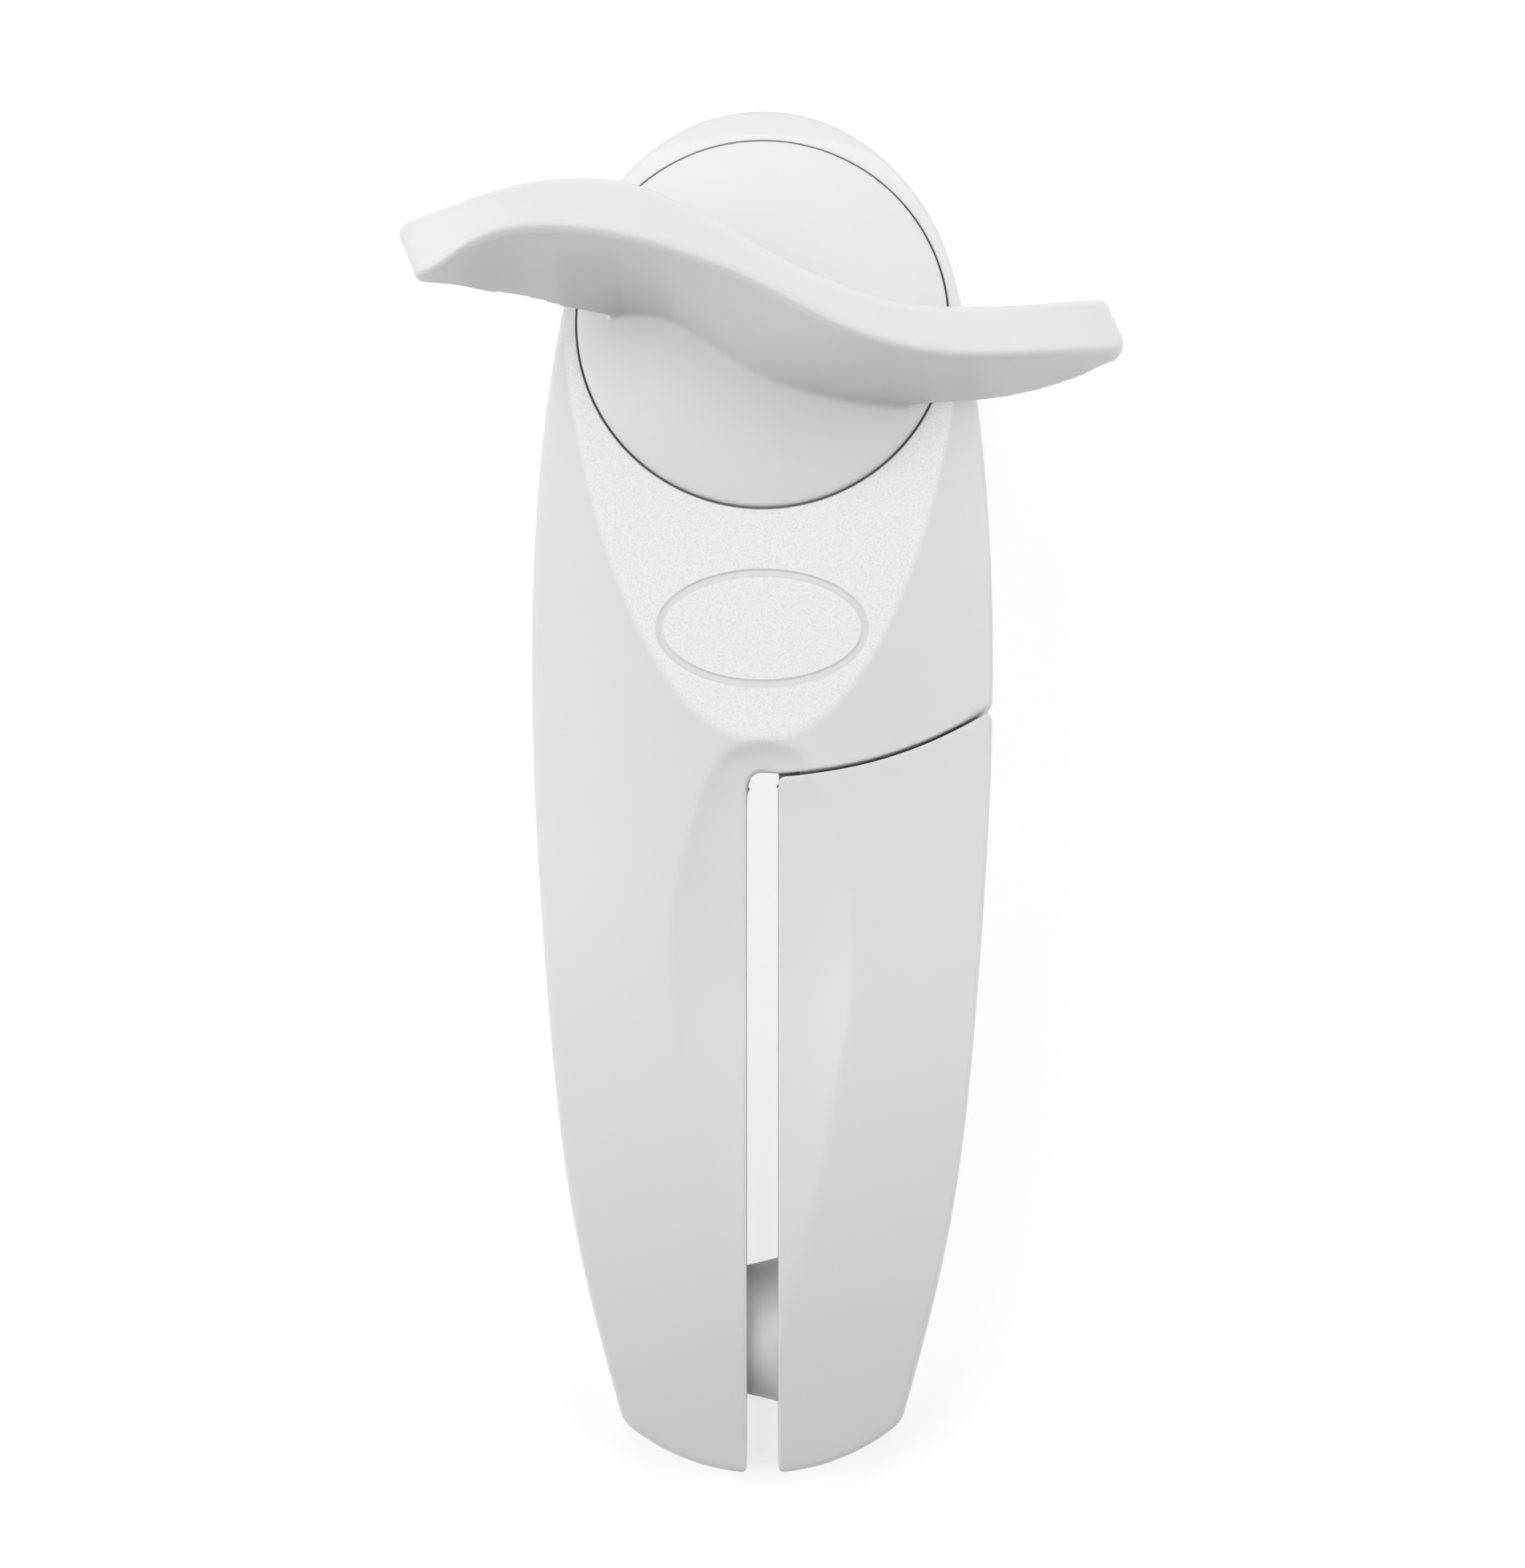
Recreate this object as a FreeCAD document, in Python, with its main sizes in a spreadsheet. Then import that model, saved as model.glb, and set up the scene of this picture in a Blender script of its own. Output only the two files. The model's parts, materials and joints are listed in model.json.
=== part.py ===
import FreeCAD, Part
import math
import os
import Sketcher
from FreeCAD import Placement, Rotation, Vector

# A two-handled, side-cutting can opener.
# Frame: the origin is on the axis of the knob and feed wheel, at the end face of the feed wheel's
# screw, which is also the level of the surface that the opener lies on. +Z is up along that axis
# towards the knob, +Y points to the head and -Y to the handle ends, +X is the lever's side.
# All sizes are in millimetres.

doc = FreeCAD.newDocument("can_opener")
sheet = doc.addObject("Spreadsheet::Sheet", "sizes")

SIZES = (
    # plan of the body
    ("head_reach", 30.7, "knob axis to the front of the head"),
    ("handle_reach", 159.8, "knob axis to the end arc of the handles"),
    ("slot_half", 2.2, "half the width of the slot between the handles"),
    ("slot_top", 62.0, "knob axis to the closed end of the slot"),
    ("slot_relief_radius", 2.4, "relief of the rear cover behind that end"),
    ("slot_relief_along", -61.4, "middle of that relief, Y"),
    ("parting_radius", 62.8, "radius of the head's edge that faces the lever"),
    ("parting_gap", 0.7, "gap between the head and the lever along that edge"),
    ("wall", 2.4, "wall of the mouldings"),
    # levels
    ("panel_height", 33.0, "flat front panel"),
    ("floor_low", 8.0, "underside of the head"),
    ("split_high", 11.0, "split between front and back mouldings at the head"),
    ("split_low", 7.5, "the same split at the handle ends"),
    ("crown_radius", 150.0, "crown of the front surface across the body"),
    ("scoop_radius", 35.0, "curve of the scoop across the body"),
    ("rim_rounding", 0.4, "rounding of the front mouldings' rims"),
    ("under_rounding", 2.0, "rounding of the back mouldings' lower edges"),
    ("corner_rounding", 1.5, "upright corners at the handle ends"),
    # oval badge
    ("badge_along", -42.7, "middle of the oval badge, Y"),
    ("badge_half_width", 14.7, "outside of its groove, along X"),
    ("badge_half_height", 8.2, "outside of its groove, along Y"),
    ("badge_groove_width", 0.95, "width of the groove"),
    ("badge_groove_depth", 0.4, "depth of the groove"),
    # knob
    ("knob_radius", 25.7, "disc of the knob"),
    ("knob_low", 32.2, "underside of the disc"),
    ("knob_rim", 34.0, "top of the disc's straight rim"),
    ("knob_crown", 38.0, "top of the disc's dome"),
    ("knob_recess_radius", 26.15, "round recess in the panel under the disc"),
    ("knob_recess_floor", 31.2, "floor of that recess"),
    ("wing_top", 67.6, "top of the turning wing"),
    ("wing_half_width", 3.3, "half the wing's thickness along its top"),
    ("knob_hub_radius", 8.0, "hub under the disc"),
    ("knob_skirt", 2.4, "thickness of the disc's dome and rim"),
    # drive
    ("shaft_radius", 3.0, "drive shaft"),
    ("shaft_flats", 2.4, "axis to each flat of the shaft's keyed ends"),
    ("running_fit", 0.05, "radial clearance of a turning fit"),
    ("bush_radius", 5.0, "outside of the shaft's bushes"),
    ("flange_radius", 7.0, "flange of the bushes"),
    ("wheel_low", 1.8, "underside of the feed wheel"),
    ("wheel_high", 5.2, "top of the feed wheel"),
    ("wheel_radius", 6.4, "tips of the feed wheel's teeth"),
    ("wheel_tooth_depth", 0.7, "depth of its teeth"),
    ("plate_low", 6.5, "underside of the base plate"),
    ("plate_inset", 2.0, "base plate's edge inside the head's outline"),
    ("upper_bush_low", 22.0, "lower end of the upper bush"),
    ("upper_bush_high", 31.9, "top of the upper bush's flange"),
    ("lower_bush_high", 11.4, "top of the lower bush's flange"),
    ("clip_low", 20.6, "underside of the shaft's spring clip"),
    ("clip_high", 21.4, "top of that clip"),
    ("clip_radius", 5.5, "outside of that clip"),
    ("clip_groove_depth", 0.4, "depth of its groove in the shaft"),
    ("thrust_washer_radius", 5.6, "washer on the feed wheel"),
    ("thrust_washer_high", 6.2, "top of that washer"),
    ("feed_head_radius", 3.5, "corners of the feed screw's head"),
    ("feed_thread_radius", 1.25, "shank of the feed screw"),
    ("feed_screw_high", 9.0, "end of that shank"),
    # lever and cutter
    ("pivot_across", 7.0, "lever pivot, X"),
    ("pivot_along", 17.0, "lever pivot, Y"),
    ("arm_low", 11.6, "underside of the lever's arm plate"),
    ("arm_high", 14.1, "top of the lever's arm plate"),
    ("arm_clearance", 0.5, "room left above the arm plate"),
    ("pivot_bush_radius", 4.5, "pivot bush in the arm's eye"),
    ("pivot_flange_radius", 6.4, "flange of that bush and its washer"),
    ("pivot_flange_low", 11.3, "underside of that flange"),
    ("pivot_bush_high", 14.8, "top of that bush"),
    ("pivot_washer_low", 15.1, "underside of the pivot washer"),
    ("pivot_washer_high", 15.6, "top of the pivot washer"),
    ("pivot_boss_low", 15.9, "lower end of the boss round the pivot pin"),
    ("pivot_pin_high", 26.0, "top of the pivot pin"),
    ("cutter_across", 16.2, "cutter axis, X"),
    ("cutter_radius", 9.0, "edge of the cutter wheel"),
    ("cutter_low", 2.3, "underside of the cutter wheel"),
    ("cutter_high", 4.3, "top of the cutter wheel"),
    ("journal_radius", 2.5, "axle inside the cutter wheel"),
    ("shoulder_radius", 4.0, "axle above the cutter wheel"),
    ("shoulder_low", 5.0, "lower end of that shoulder"),
    ("cutter_washer_low", 4.6, "underside of the washer below it"),
    ("axle_rivet_radius", 4.2, "riveted head of the axle, and its clip"),
    ("axle_rivet_high", 15.3, "top of that head"),
    ("axle_low", 1.3, "lower end of the axle"),
    ("axle_groove_low", 1.5, "underside of the axle's clip"),
    ("axle_groove_high", 2.0, "top of the axle's clip"),
    ("axle_groove_radius", 2.0, "axle inside its clip"),
    ("blade_width", 2.4, "ground edge of the cutter wheel, outwards"),
    ("blade_depth", 1.2, "height of that ground edge"),
    ("lug_along", -139.8, "middle of the stop lug, Y"),
    ("lug_radius", 10.0, "stop lug's rounded top"),
    ("lug_axis_height", 8.4, "axis of that rounding"),
    # fasteners
    ("screw_radius", 1.5, "shank of the self-tapping screws"),
    ("screw_head_radius", 2.8, "their countersunk heads"),
    ("screw_head_depth", 1.4, "depth of those heads"),
    ("screw_length", 14.0, "their whole length"),
    ("screw_point", 2.0, "length of their points"),
    ("screw_play", 0.1, "clearance round their shanks"),
    ("boss_radius", 3.4, "bosses that the screws bite into"),
)
for row, (alias, value, meaning) in enumerate(SIZES, start=1):
    sheet.set(f"A{row}", meaning)
    sheet.set(f"B{row}", str(value))
    sheet.setAlias(f"B{row}", alias)
doc.recompute()


def size(alias):
    return float(sheet.get(alias))


def cell(alias):
    """The expression that follows one of the sizes."""
    return f"sizes.{alias}"


PIVOT = Vector(size("pivot_across"), size("pivot_along"), 0)
CUTTER = Vector(size("cutter_across"), 0, 0)
FAR = 300.0            # beyond the object in every direction
THROUGH = "400"        # length of a cut that passes right through
OPEN_ANGLE = 12.0      # the lever's swing away from rest, degrees
SQUEEZE_ANGLE = -1.1   # and towards the other handle

PLATE_SCREWS = ((-4.5, 22.5), (-14.0, 8.0), (-14.0, -13.0))
HOUSING_SCREWS = ((-20.0, -32.0), (-16.0, -62.0), (-15.5, -96.0), (-12.5, -124.0))
LEVER_SCREWS = ((15.0, -76.0), (14.5, -97.0), (13.0, -124.0))


# ---------------------------------------------------------------- curves of the body

HEAD_TIP = Vector(0, size("head_reach"), 0)
SIDE_POINTS = ((8.2, 29.2), (14.6, 25.5), (19.5, 20.9), (25.0, 12.0), (27.9, 1.6), (31.0, -20.9),
               (31.9, -56.0), (29.8, -93.0), (25.9, -126.0))
HANDLE_CORNER = Vector(19.6, -152.4, 0)
CORNER_INSET = Vector(-0.87, 0.57, 0)      # the corner's way inwards for each unit of inset

# Height of the crown line over the body's middle, as (distance along Y, height).
CROWN_POINTS = ((45.0, 25.2), (33.0, 30.3), (27.0, 32.9), (15.0, 35.2), (0.0, 35.5), (-22.0, 34.9),
                (-44.0, 33.95), (-58.3, 33.0), (-72.0, 31.9), (-95.0, 29.9), (-118.0, 26.2),
                (-134.0, 22.1), (-146.0, 18.0), (-162.0, 10.9), (-175.0, 4.0))
# Depth of the scoop below that line.
SCOOP_POINTS = ((-48.0, -2.6), (-58.8, 0.0), (-66.0, 1.7), (-77.0, 2.6), (-88.0, 2.85),
                (-103.0, 2.1), (-120.0, 1.0), (-136.0, 0.2), (-150.0, -0.6))
UNDERSIDE_TURN = (-66.0, -146.0)           # where the underside leaves the head's level and reaches 0
UNDERSIDE_STEPS = 4
CROWN_ANGLE, SCOOP_ANGLE = 44.0, 150.0     # how far round their axes these cuts reach, degrees


def spline(points):
    curve = Part.BSplineCurve()
    curve.interpolate(Points=points)
    return curve


def flat_line(first, second):
    return Part.LineSegment(Vector(*first), Vector(*second))


def chain(points):
    """A closed run of straight edges through (x, y) points."""
    corners = [Vector(x, y, 0) for x, y in points]
    return [Part.LineSegment(a, b) for a, b in zip(corners, corners[1:] + corners[:1])]


def mirrored(point):
    return Vector(-point.x, point.y, point.z)


def outline(inset=0.0):
    """The body's outline seen from the front: one curve round the head, one arc at the handles."""
    right = [Vector(x, y, 0) for x, y in SIDE_POINTS] + [HANDLE_CORNER]
    points = [mirrored(p) for p in reversed(right)] + [HEAD_TIP] + right
    curve = spline(points)
    if inset:
        moved = [mirrored(HANDLE_CORNER + CORNER_INSET * inset)]
        for point in points[1:-1]:
            along = curve.tangent(curve.parameter(point))[0]
            moved.append(point + Vector(along.y, -along.x, 0) * inset)
        moved.append(HANDLE_CORNER + CORNER_INSET * inset)
        curve = spline(moved)
    corner = curve.EndPoint
    end = Part.Arc(corner, Vector(0, inset - size("handle_reach"), 0), mirrored(corner))
    return [curve, end]


def around_axis(radius, across):
    """The point below the knob axis at this radius and this X."""
    return Vector(across, -math.sqrt(radius * radius - across * across), 0)


def lever_region(gap):
    """What the head and left handle leave free for the lever: right of the slot, below the arc.

    The slot's closed end is rounded and runs a little way into the head.
    """
    radius = size("parting_radius") - gap
    half = size("slot_half")
    top = Vector(0, gap - size("slot_top"), 0)
    corner = Vector(-half - gap, top.y - half, 0)
    start = around_axis(radius, 0.9 * half)
    middle = around_axis(radius, 20.0)
    right = around_axis(radius, 45.0)
    rounding = Vector(-0.7 * (half + gap), top.y - 0.3 * half, 0)
    far_right, far_left = Vector(45.0, -FAR, 0), Vector(corner.x, -FAR, 0)
    return [Part.Arc(corner, rounding, top), Part.LineSegment(top, start),
            Part.Arc(start, middle, right), Part.LineSegment(right, far_right),
            Part.LineSegment(far_right, far_left), Part.LineSegment(far_left, corner)]


def housing_region(gap):
    """What the lever leaves free for the head and left handle."""
    radius = size("parting_radius") + size("parting_gap") + gap
    left = around_axis(radius, size("slot_half") + gap)
    middle = around_axis(radius, 20.0)
    right = around_axis(radius, 45.0)
    corners = [right, Vector(FAR, right.y, 0), Vector(FAR, FAR, 0), Vector(-FAR, FAR, 0),
               Vector(-FAR, -FAR, 0), Vector(left.x, -FAR, 0), left]
    return [Part.Arc(left, middle, right)] + [Part.LineSegment(a, b)
                                              for a, b in zip(corners, corners[1:])]


def height_on(curve, along):
    """Height of a (Y, Z) curve where it passes this Y."""
    low, high = curve.FirstParameter, curve.LastParameter
    rising = curve.EndPoint.x > curve.StartPoint.x
    for _ in range(50):
        middle = (low + high) / 2
        if (curve.value(middle).x < along) == rising:
            low = middle
        else:
            high = middle
    return curve.value((low + high) / 2).y


def crown_curve(drop):
    return spline([Vector(along, height - drop, 0) for along, height in CROWN_POINTS])


def scoop_curve(drop):
    crown = crown_curve(0.0)
    return spline([Vector(along, height_on(crown, along) - depth - drop, 0)
                   for along, depth in SCOOP_POINTS])


def underside_height(along):
    """The underside falls from the head's level to the table in a smooth S."""
    start, end = UNDERSIDE_TURN
    share = min(1.0, max(0.0, (start - along) / (start - end)))
    return size("floor_low") * (1 + math.cos(math.pi * share)) / 2


def underside_edges(rise):
    """Everything below the underside, as a closed outline in the YZ plane."""
    start, end = UNDERSIDE_TURN
    steps = [start + (end - start) * k / UNDERSIDE_STEPS for k in range(UNDERSIDE_STEPS + 1)]
    points = [Vector(along, underside_height(along) + rise, 0) for along in steps]
    slope = spline(points)
    run = [Vector(-FAR, rise, 0), Vector(-FAR, -FAR, 0), Vector(FAR, -FAR, 0),
           Vector(FAR, points[0].y, 0), points[0]]
    return ([slope, Part.LineSegment(points[-1], run[0])]
            + [Part.LineSegment(a, b) for a, b in zip(run, run[1:])])


def split_line():
    """The split between front and back mouldings, from head to handle ends."""
    return [(FAR, size("split_high")), (UNDERSIDE_TURN[0], size("split_high")),
            (-165.0, size("split_low")), (-FAR, size("split_low"))]


# ---------------------------------------------------------------- ways of making features

def new_body(name):
    return doc.addObject("PartDesign::Body", name)


def origin_plane(body, role):
    return next(part for part in body.Origin.OriginFeatures if part.Role == role)


def add_sketch(body, name, role, edges, level=None, axis=None):
    """A sketch on one of the body's own planes; level is an expression that lifts it off."""
    sketch = body.newObject("Sketcher::SketchObject", name)
    sketch.AttachmentSupport = [(origin_plane(body, role), "")]
    sketch.MapMode = "FlatFace"
    if level is not None:
        sketch.setExpression(".AttachmentOffset.Base.z", level)
    for edge in edges:
        sketch.addGeometry(edge, False)
    if axis is not None:
        sketch.addGeometry(axis, True)
    return sketch


def pad(body, name, sketch, length, both_ways=False, reverse=False):
    feature = body.newObject("PartDesign::Pad", name)
    feature.Profile = sketch
    feature.setExpression("Length", length)
    if both_ways:
        feature.SideType = "Symmetric"
    feature.Reversed = reverse
    return feature


def pocket(body, name, sketch, length, both_ways=False, reverse=False):
    feature = body.newObject("PartDesign::Pocket", name)
    feature.Profile = sketch
    feature.Type = "Length"
    feature.setExpression("Length", length)
    if both_ways:
        feature.SideType = "Symmetric"
    feature.Reversed = reverse
    return feature


def groove(body, name, sketch, angle):
    feature = body.newObject("PartDesign::Groove", name)
    feature.Profile = sketch
    feature.ReferenceAxis = (sketch, ["Axis0"])
    feature.Angle = angle
    feature.Midplane = True
    return feature


def cylinder(name, radius, low, high, across="0", along="0"):
    """An upright cylinder; every argument but the name is an expression."""
    solid = doc.addObject("Part::Cylinder", name)
    solid.setExpression("Radius", radius)
    solid.setExpression("Height", f"({high}) - ({low})")
    solid.setExpression(".Placement.Base.x", across)
    solid.setExpression(".Placement.Base.y", along)
    solid.setExpression(".Placement.Base.z", low)
    return solid


def cone(name, low_radius, high_radius, low, high, across="0", along="0"):
    solid = doc.addObject("Part::Cone", name)
    solid.setExpression("Radius1", low_radius)
    solid.setExpression("Radius2", high_radius)
    solid.setExpression("Height", f"({high}) - ({low})")
    solid.setExpression(".Placement.Base.x", across)
    solid.setExpression(".Placement.Base.y", along)
    solid.setExpression(".Placement.Base.z", low)
    return solid


def box(name, corner, far_corner):
    """A box between two corners, each given as three expressions."""
    solid = doc.addObject("Part::Box", name)
    for side, axis, low, high in zip(("Length", "Width", "Height"), "xyz", corner, far_corner):
        solid.setExpression(side, f"({high}) - ({low})")
        solid.setExpression(f".Placement.Base.{axis}", low)
    return solid


def fuse(name, solids):
    if len(solids) == 1:
        return solids[0]
    joined = doc.addObject("Part::MultiFuse", name)
    joined.Shapes = solids
    return joined


def cut(name, base, tool):
    result = doc.addObject("Part::Cut", name)
    result.Base = base
    result.Tool = tool
    return result


def common(name, first, second):
    result = doc.addObject("Part::Common", name)
    result.Base = first
    result.Tool = second
    return result


SUBPARTS = []
WHEEL_TEETH = 24


def finish(subpart, label):
    """Names a finished sub-part, which is then written out."""
    subpart.Label = label
    SUBPARTS.append(subpart)
    return subpart


def is_wall(face):
    low_u, high_u, low_v, high_v = face.ParameterRange
    return abs(face.normalAt((low_u + high_u) / 2, (low_v + high_v) / 2).z) < 0.05


def handle_corner(shape, edge):
    """Whether this is an upright edge at the handle ends."""
    return abs(edge.tangentAt(edge.FirstParameter).z) > 0.99 and edge.CenterOfMass.y < -150


def rim(shape, edge, upper):
    """Whether this edge joins a wall to the front surface, or to the underside."""
    faces = shape.ancestorsOfType(edge, Part.Face)
    if len(faces) != 2 or is_wall(faces[0]) == is_wall(faces[1]):
        return False
    face = faces[0] if is_wall(faces[1]) else faces[1]
    middle = edge.valueAt((edge.FirstParameter + edge.LastParameter) / 2)
    return (face.normalAt(*face.Surface.parameter(middle)).z > 0) == upper


def front_rim(shape, edge):
    return rim(shape, edge, True)


def under_rim(shape, edge):
    return rim(shape, edge, False)


def rounded(body, name, chosen, radius):
    """Rounds the edges of the body that the test picks out."""
    doc.recompute()
    tip = body.Tip
    edges = [f"Edge{number}" for number, edge in enumerate(tip.Shape.Edges, start=1)
             if chosen(tip.Shape, edge)]
    feature = body.newObject("PartDesign::Fillet", name)
    feature.Base = (tip, edges)
    feature.setExpression("Radius", radius)


# ---------------------------------------------------------------- mouldings

def crown_section(drop):
    """What lies above the crown, in the YZ plane, and the axis deep below that it turns about."""
    curve = crown_curve(drop)
    first, last, top = curve.StartPoint, curve.EndPoint, FAR / 3
    edges = [curve, flat_line((last.x, last.y), (last.x, top)),
             flat_line((last.x, top), (first.x, top)), flat_line((first.x, top), (first.x, first.y))]
    level = size("panel_height") - size("crown_radius")
    return edges, flat_line((last.x, level), (first.x, level))


def scoop_section(drop):
    """What lies above the scoop, in the YZ plane, closed by the axis that it turns about."""
    curve = scoop_curve(drop)
    first, last = curve.StartPoint, curve.EndPoint
    above = [Vector(point.x, point.y + size("scoop_radius"), 0) for point in (first, last)]
    axis = Part.LineSegment(above[0], above[1])
    return [curve, Part.LineSegment(last, above[1]), Part.LineSegment(above[1], above[0]),
            Part.LineSegment(above[0], first)], axis


def front_block(name, region, inset):
    """A front moulding as a solid: up to the flat panel and the crown, down to the split."""
    drop = size("wall") if inset else 0.0
    body = new_body(name)
    plan = add_sketch(body, name + "_plan", "XY_Plane", outline(inset))
    pad(body, name + "_pad", plan, f"sizes.panel_height - {drop}")
    away = add_sketch(body, name + "_away", "XY_Plane", region(inset))
    pocket(body, name + "_part_away", away, THROUGH, both_ways=True)
    for title, (edges, axis), angle in (("crown", crown_section(drop), CROWN_ANGLE),
                                        ("scoop", scoop_section(drop), SCOOP_ANGLE)):
        sketch = add_sketch(body, f"{name}_{title}_profile", "YZ_Plane", edges, axis=axis)
        groove(body, f"{name}_{title}", sketch, angle)
    low = [(y, z) for y, z in split_line()] + [(-FAR, -FAR), (FAR, -FAR)]
    below = add_sketch(body, name + "_below", "YZ_Plane", chain(low))
    pocket(body, name + "_split", below, THROUGH, both_ways=True)
    if not inset:
        rounded(body, name + "_corners", handle_corner, cell("corner_rounding"))
        rounded(body, name + "_rims", front_rim, cell("rim_rounding"))
    return body


def back_block(name, region, inset):
    """A back moulding as a solid: between the underside and the split."""
    rise = size("wall") if inset else 0.0
    body = new_body(name)
    plan = add_sketch(body, name + "_plan", "XY_Plane", outline(inset))
    pad(body, name + "_pad", plan, "sizes.split_high")
    away = add_sketch(body, name + "_away", "XY_Plane", region(inset))
    pocket(body, name + "_part_away", away, THROUGH, both_ways=True)
    if inset:
        solid_head = chain([(-FAR, UNDERSIDE_TURN[0] - rise), (FAR, UNDERSIDE_TURN[0] - rise),
                            (FAR, FAR), (-FAR, FAR)])
        head = add_sketch(body, name + "_head", "XY_Plane", solid_head)
        pocket(body, name + "_solid_head", head, THROUGH, both_ways=True)
    under = add_sketch(body, name + "_under", "YZ_Plane", underside_edges(rise))
    pocket(body, name + "_underside", under, THROUGH, both_ways=True)
    if not inset:
        high = [(y, z) for y, z in split_line()] + [(-FAR, FAR), (FAR, FAR)]
        above = add_sketch(body, name + "_above", "YZ_Plane", chain(high))
        pocket(body, name + "_split", above, THROUGH, both_ways=True)
        rounded(body, name + "_corners", handle_corner, cell("corner_rounding"))
        rounded(body, name + "_rims", under_rim, cell("under_rounding"))
    return body


def screw_seat(along):
    """Height of a countersunk head's flat end under the mouldings at this Y."""
    height = underside_height(along)
    return height if height >= size("floor_low") else height + 0.5


def split_height(along):
    points = split_line()
    for (far_y, far_z), (near_y, near_z) in zip(points[1:], points):
        if far_y <= along <= near_y:
            return far_z + (near_z - far_z) * (along - far_y) / (near_y - far_y)


def at(point):
    return {"across": f"{point[0]}", "along": f"{point[1]}"}


def screw_group(name, places, seats):
    """Identical countersunk self-tapping screws."""
    solids = []
    for index, (place, seat) in enumerate(zip(places, seats)):
        head = cone(f"{name}_head_{index}", cell("screw_head_radius"), cell("screw_radius"),
                    f"{seat}", f"{seat} + sizes.screw_head_depth", **at(place))
        shank = cylinder(f"{name}_shank_{index}", cell("screw_radius"),
                         f"{seat} + sizes.screw_head_depth",
                         f"{seat} + sizes.screw_length - sizes.screw_point", **at(place))
        tip = cone(f"{name}_tip_{index}", cell("screw_radius"), "0.3",
                   f"{seat} + sizes.screw_length - sizes.screw_point",
                   f"{seat} + sizes.screw_length", **at(place))
        drive = [box(f"{name}_drive_{index}_{turn}",
                     (f"{place[0]} - {half[0]}", f"{place[1]} - {half[1]}", f"{seat} - 0.1"),
                     (f"{place[0]} + {half[0]}", f"{place[1]} + {half[1]}", f"{seat} + 0.9"))
                 for turn, half in enumerate(((1.4, 0.3), (0.3, 1.4)))]
        whole = fuse(f"{name}_whole_{index}", [head, shank, tip])
        solids.append(cut(f"{name}_{index}", whole, fuse(f"{name}_cross_{index}", drive)))
    group = doc.addObject("Part::Compound", name)
    group.Links = solids
    return finish(group, name)


def screw_ways(name, places, seats, radius):
    """What the screws need free: a well for the head, its countersink and the shank's hole."""
    tools = []
    for index, (place, seat) in enumerate(zip(places, seats)):
        tools.append(cylinder(f"{name}_well_{index}", "sizes.screw_head_radius + 0.2", "-5",
                              f"{seat}", **at(place)))
        tools.append(cone(f"{name}_sink_{index}", cell("screw_head_radius"), cell("screw_radius"),
                          f"{seat}", f"{seat} + sizes.screw_head_depth", **at(place)))
        tools.append(cylinder(f"{name}_hole_{index}", radius, f"{seat}",
                              f"{seat} + sizes.screw_length + 0.5", **at(place)))
    return tools


PLATE_SEATS = [size("plate_low")] * len(PLATE_SCREWS)
HOUSING_SEATS = [screw_seat(place[1]) for place in HOUSING_SCREWS]
LEVER_SEATS = [screw_seat(place[1]) for place in LEVER_SCREWS]
SCREW_WAY = "sizes.screw_radius + sizes.screw_play"
ON_ARM = 2             # the first lever screws pass through the arm plate
LUG_CLEARANCE = 1.6    # room left round the lug in the other handle


def bosses(name, places, lows, highs):
    return [cylinder(f"{name}_{index}", cell("boss_radius"), f"{low}", f"{high}", **at(place))
            for index, (place, low, high) in enumerate(zip(places, lows, highs))]


def swung(point, degrees):
    """A point of the lever after it has swung about its pivot."""
    return PIVOT + Rotation(Vector(0, 0, 1), degrees).multVec(point - PIVOT)


def cutter_way():
    """The slot in the head's floor and base plate that the cutter's axle moves along."""
    body = new_body("cutter_way")
    start, end = swung(CUTTER, SQUEEZE_ANGLE), swung(CUTTER, OPEN_ANGLE)
    along = (end - start).normalize()
    half = size("shoulder_radius") + 0.6
    side = Vector(-along.y, along.x, 0) * half
    edges = [Part.LineSegment(start + side, end + side),
             Part.Arc(end + side, end + along * half, end - side),
             Part.LineSegment(end - side, start - side),
             Part.Arc(start - side, start - along * half, start + side)]
    pad(body, "cutter_way_pad", add_sketch(body, "cutter_way_plan", "XY_Plane", edges), "20")
    return body


def lug_solid(name, spare):
    """The stop lug: a rounded tongue along X, wider towards the lever, flat below."""
    start, end = -6.2 - spare, 4.7
    taper = 0.24
    tongue = doc.addObject("Part::Cone", name + "_tongue")
    tongue.setExpression("Radius1", f"sizes.lug_radius - 0.4 + {taper * start + spare}")
    tongue.setExpression("Radius2", f"sizes.lug_radius - 0.4 + {taper * end + spare}")
    tongue.Height = end - start
    flange = doc.addObject("Part::Cylinder", name + "_flange")
    flange.setExpression("Radius", f"sizes.lug_radius + {0.3 + spare}")
    flange.Height = 2.4
    for solid, across in ((tongue, start), (flange, end)):
        solid.Placement = Placement(Vector(across, size("lug_along"), size("lug_axis_height")),
                                    Rotation(Vector(0, 1, 0), 90))
    below = box(name + "_below", ("-20", "sizes.lug_along - 20", "-20"),
                ("20", "sizes.lug_along + 20", f"sizes.lug_axis_height + {0.6 - 2 * spare}"))
    return cut(name, fuse(name + "_round", [tongue, flange]), below)


CUTTER_WAY = cutter_way()


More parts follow.
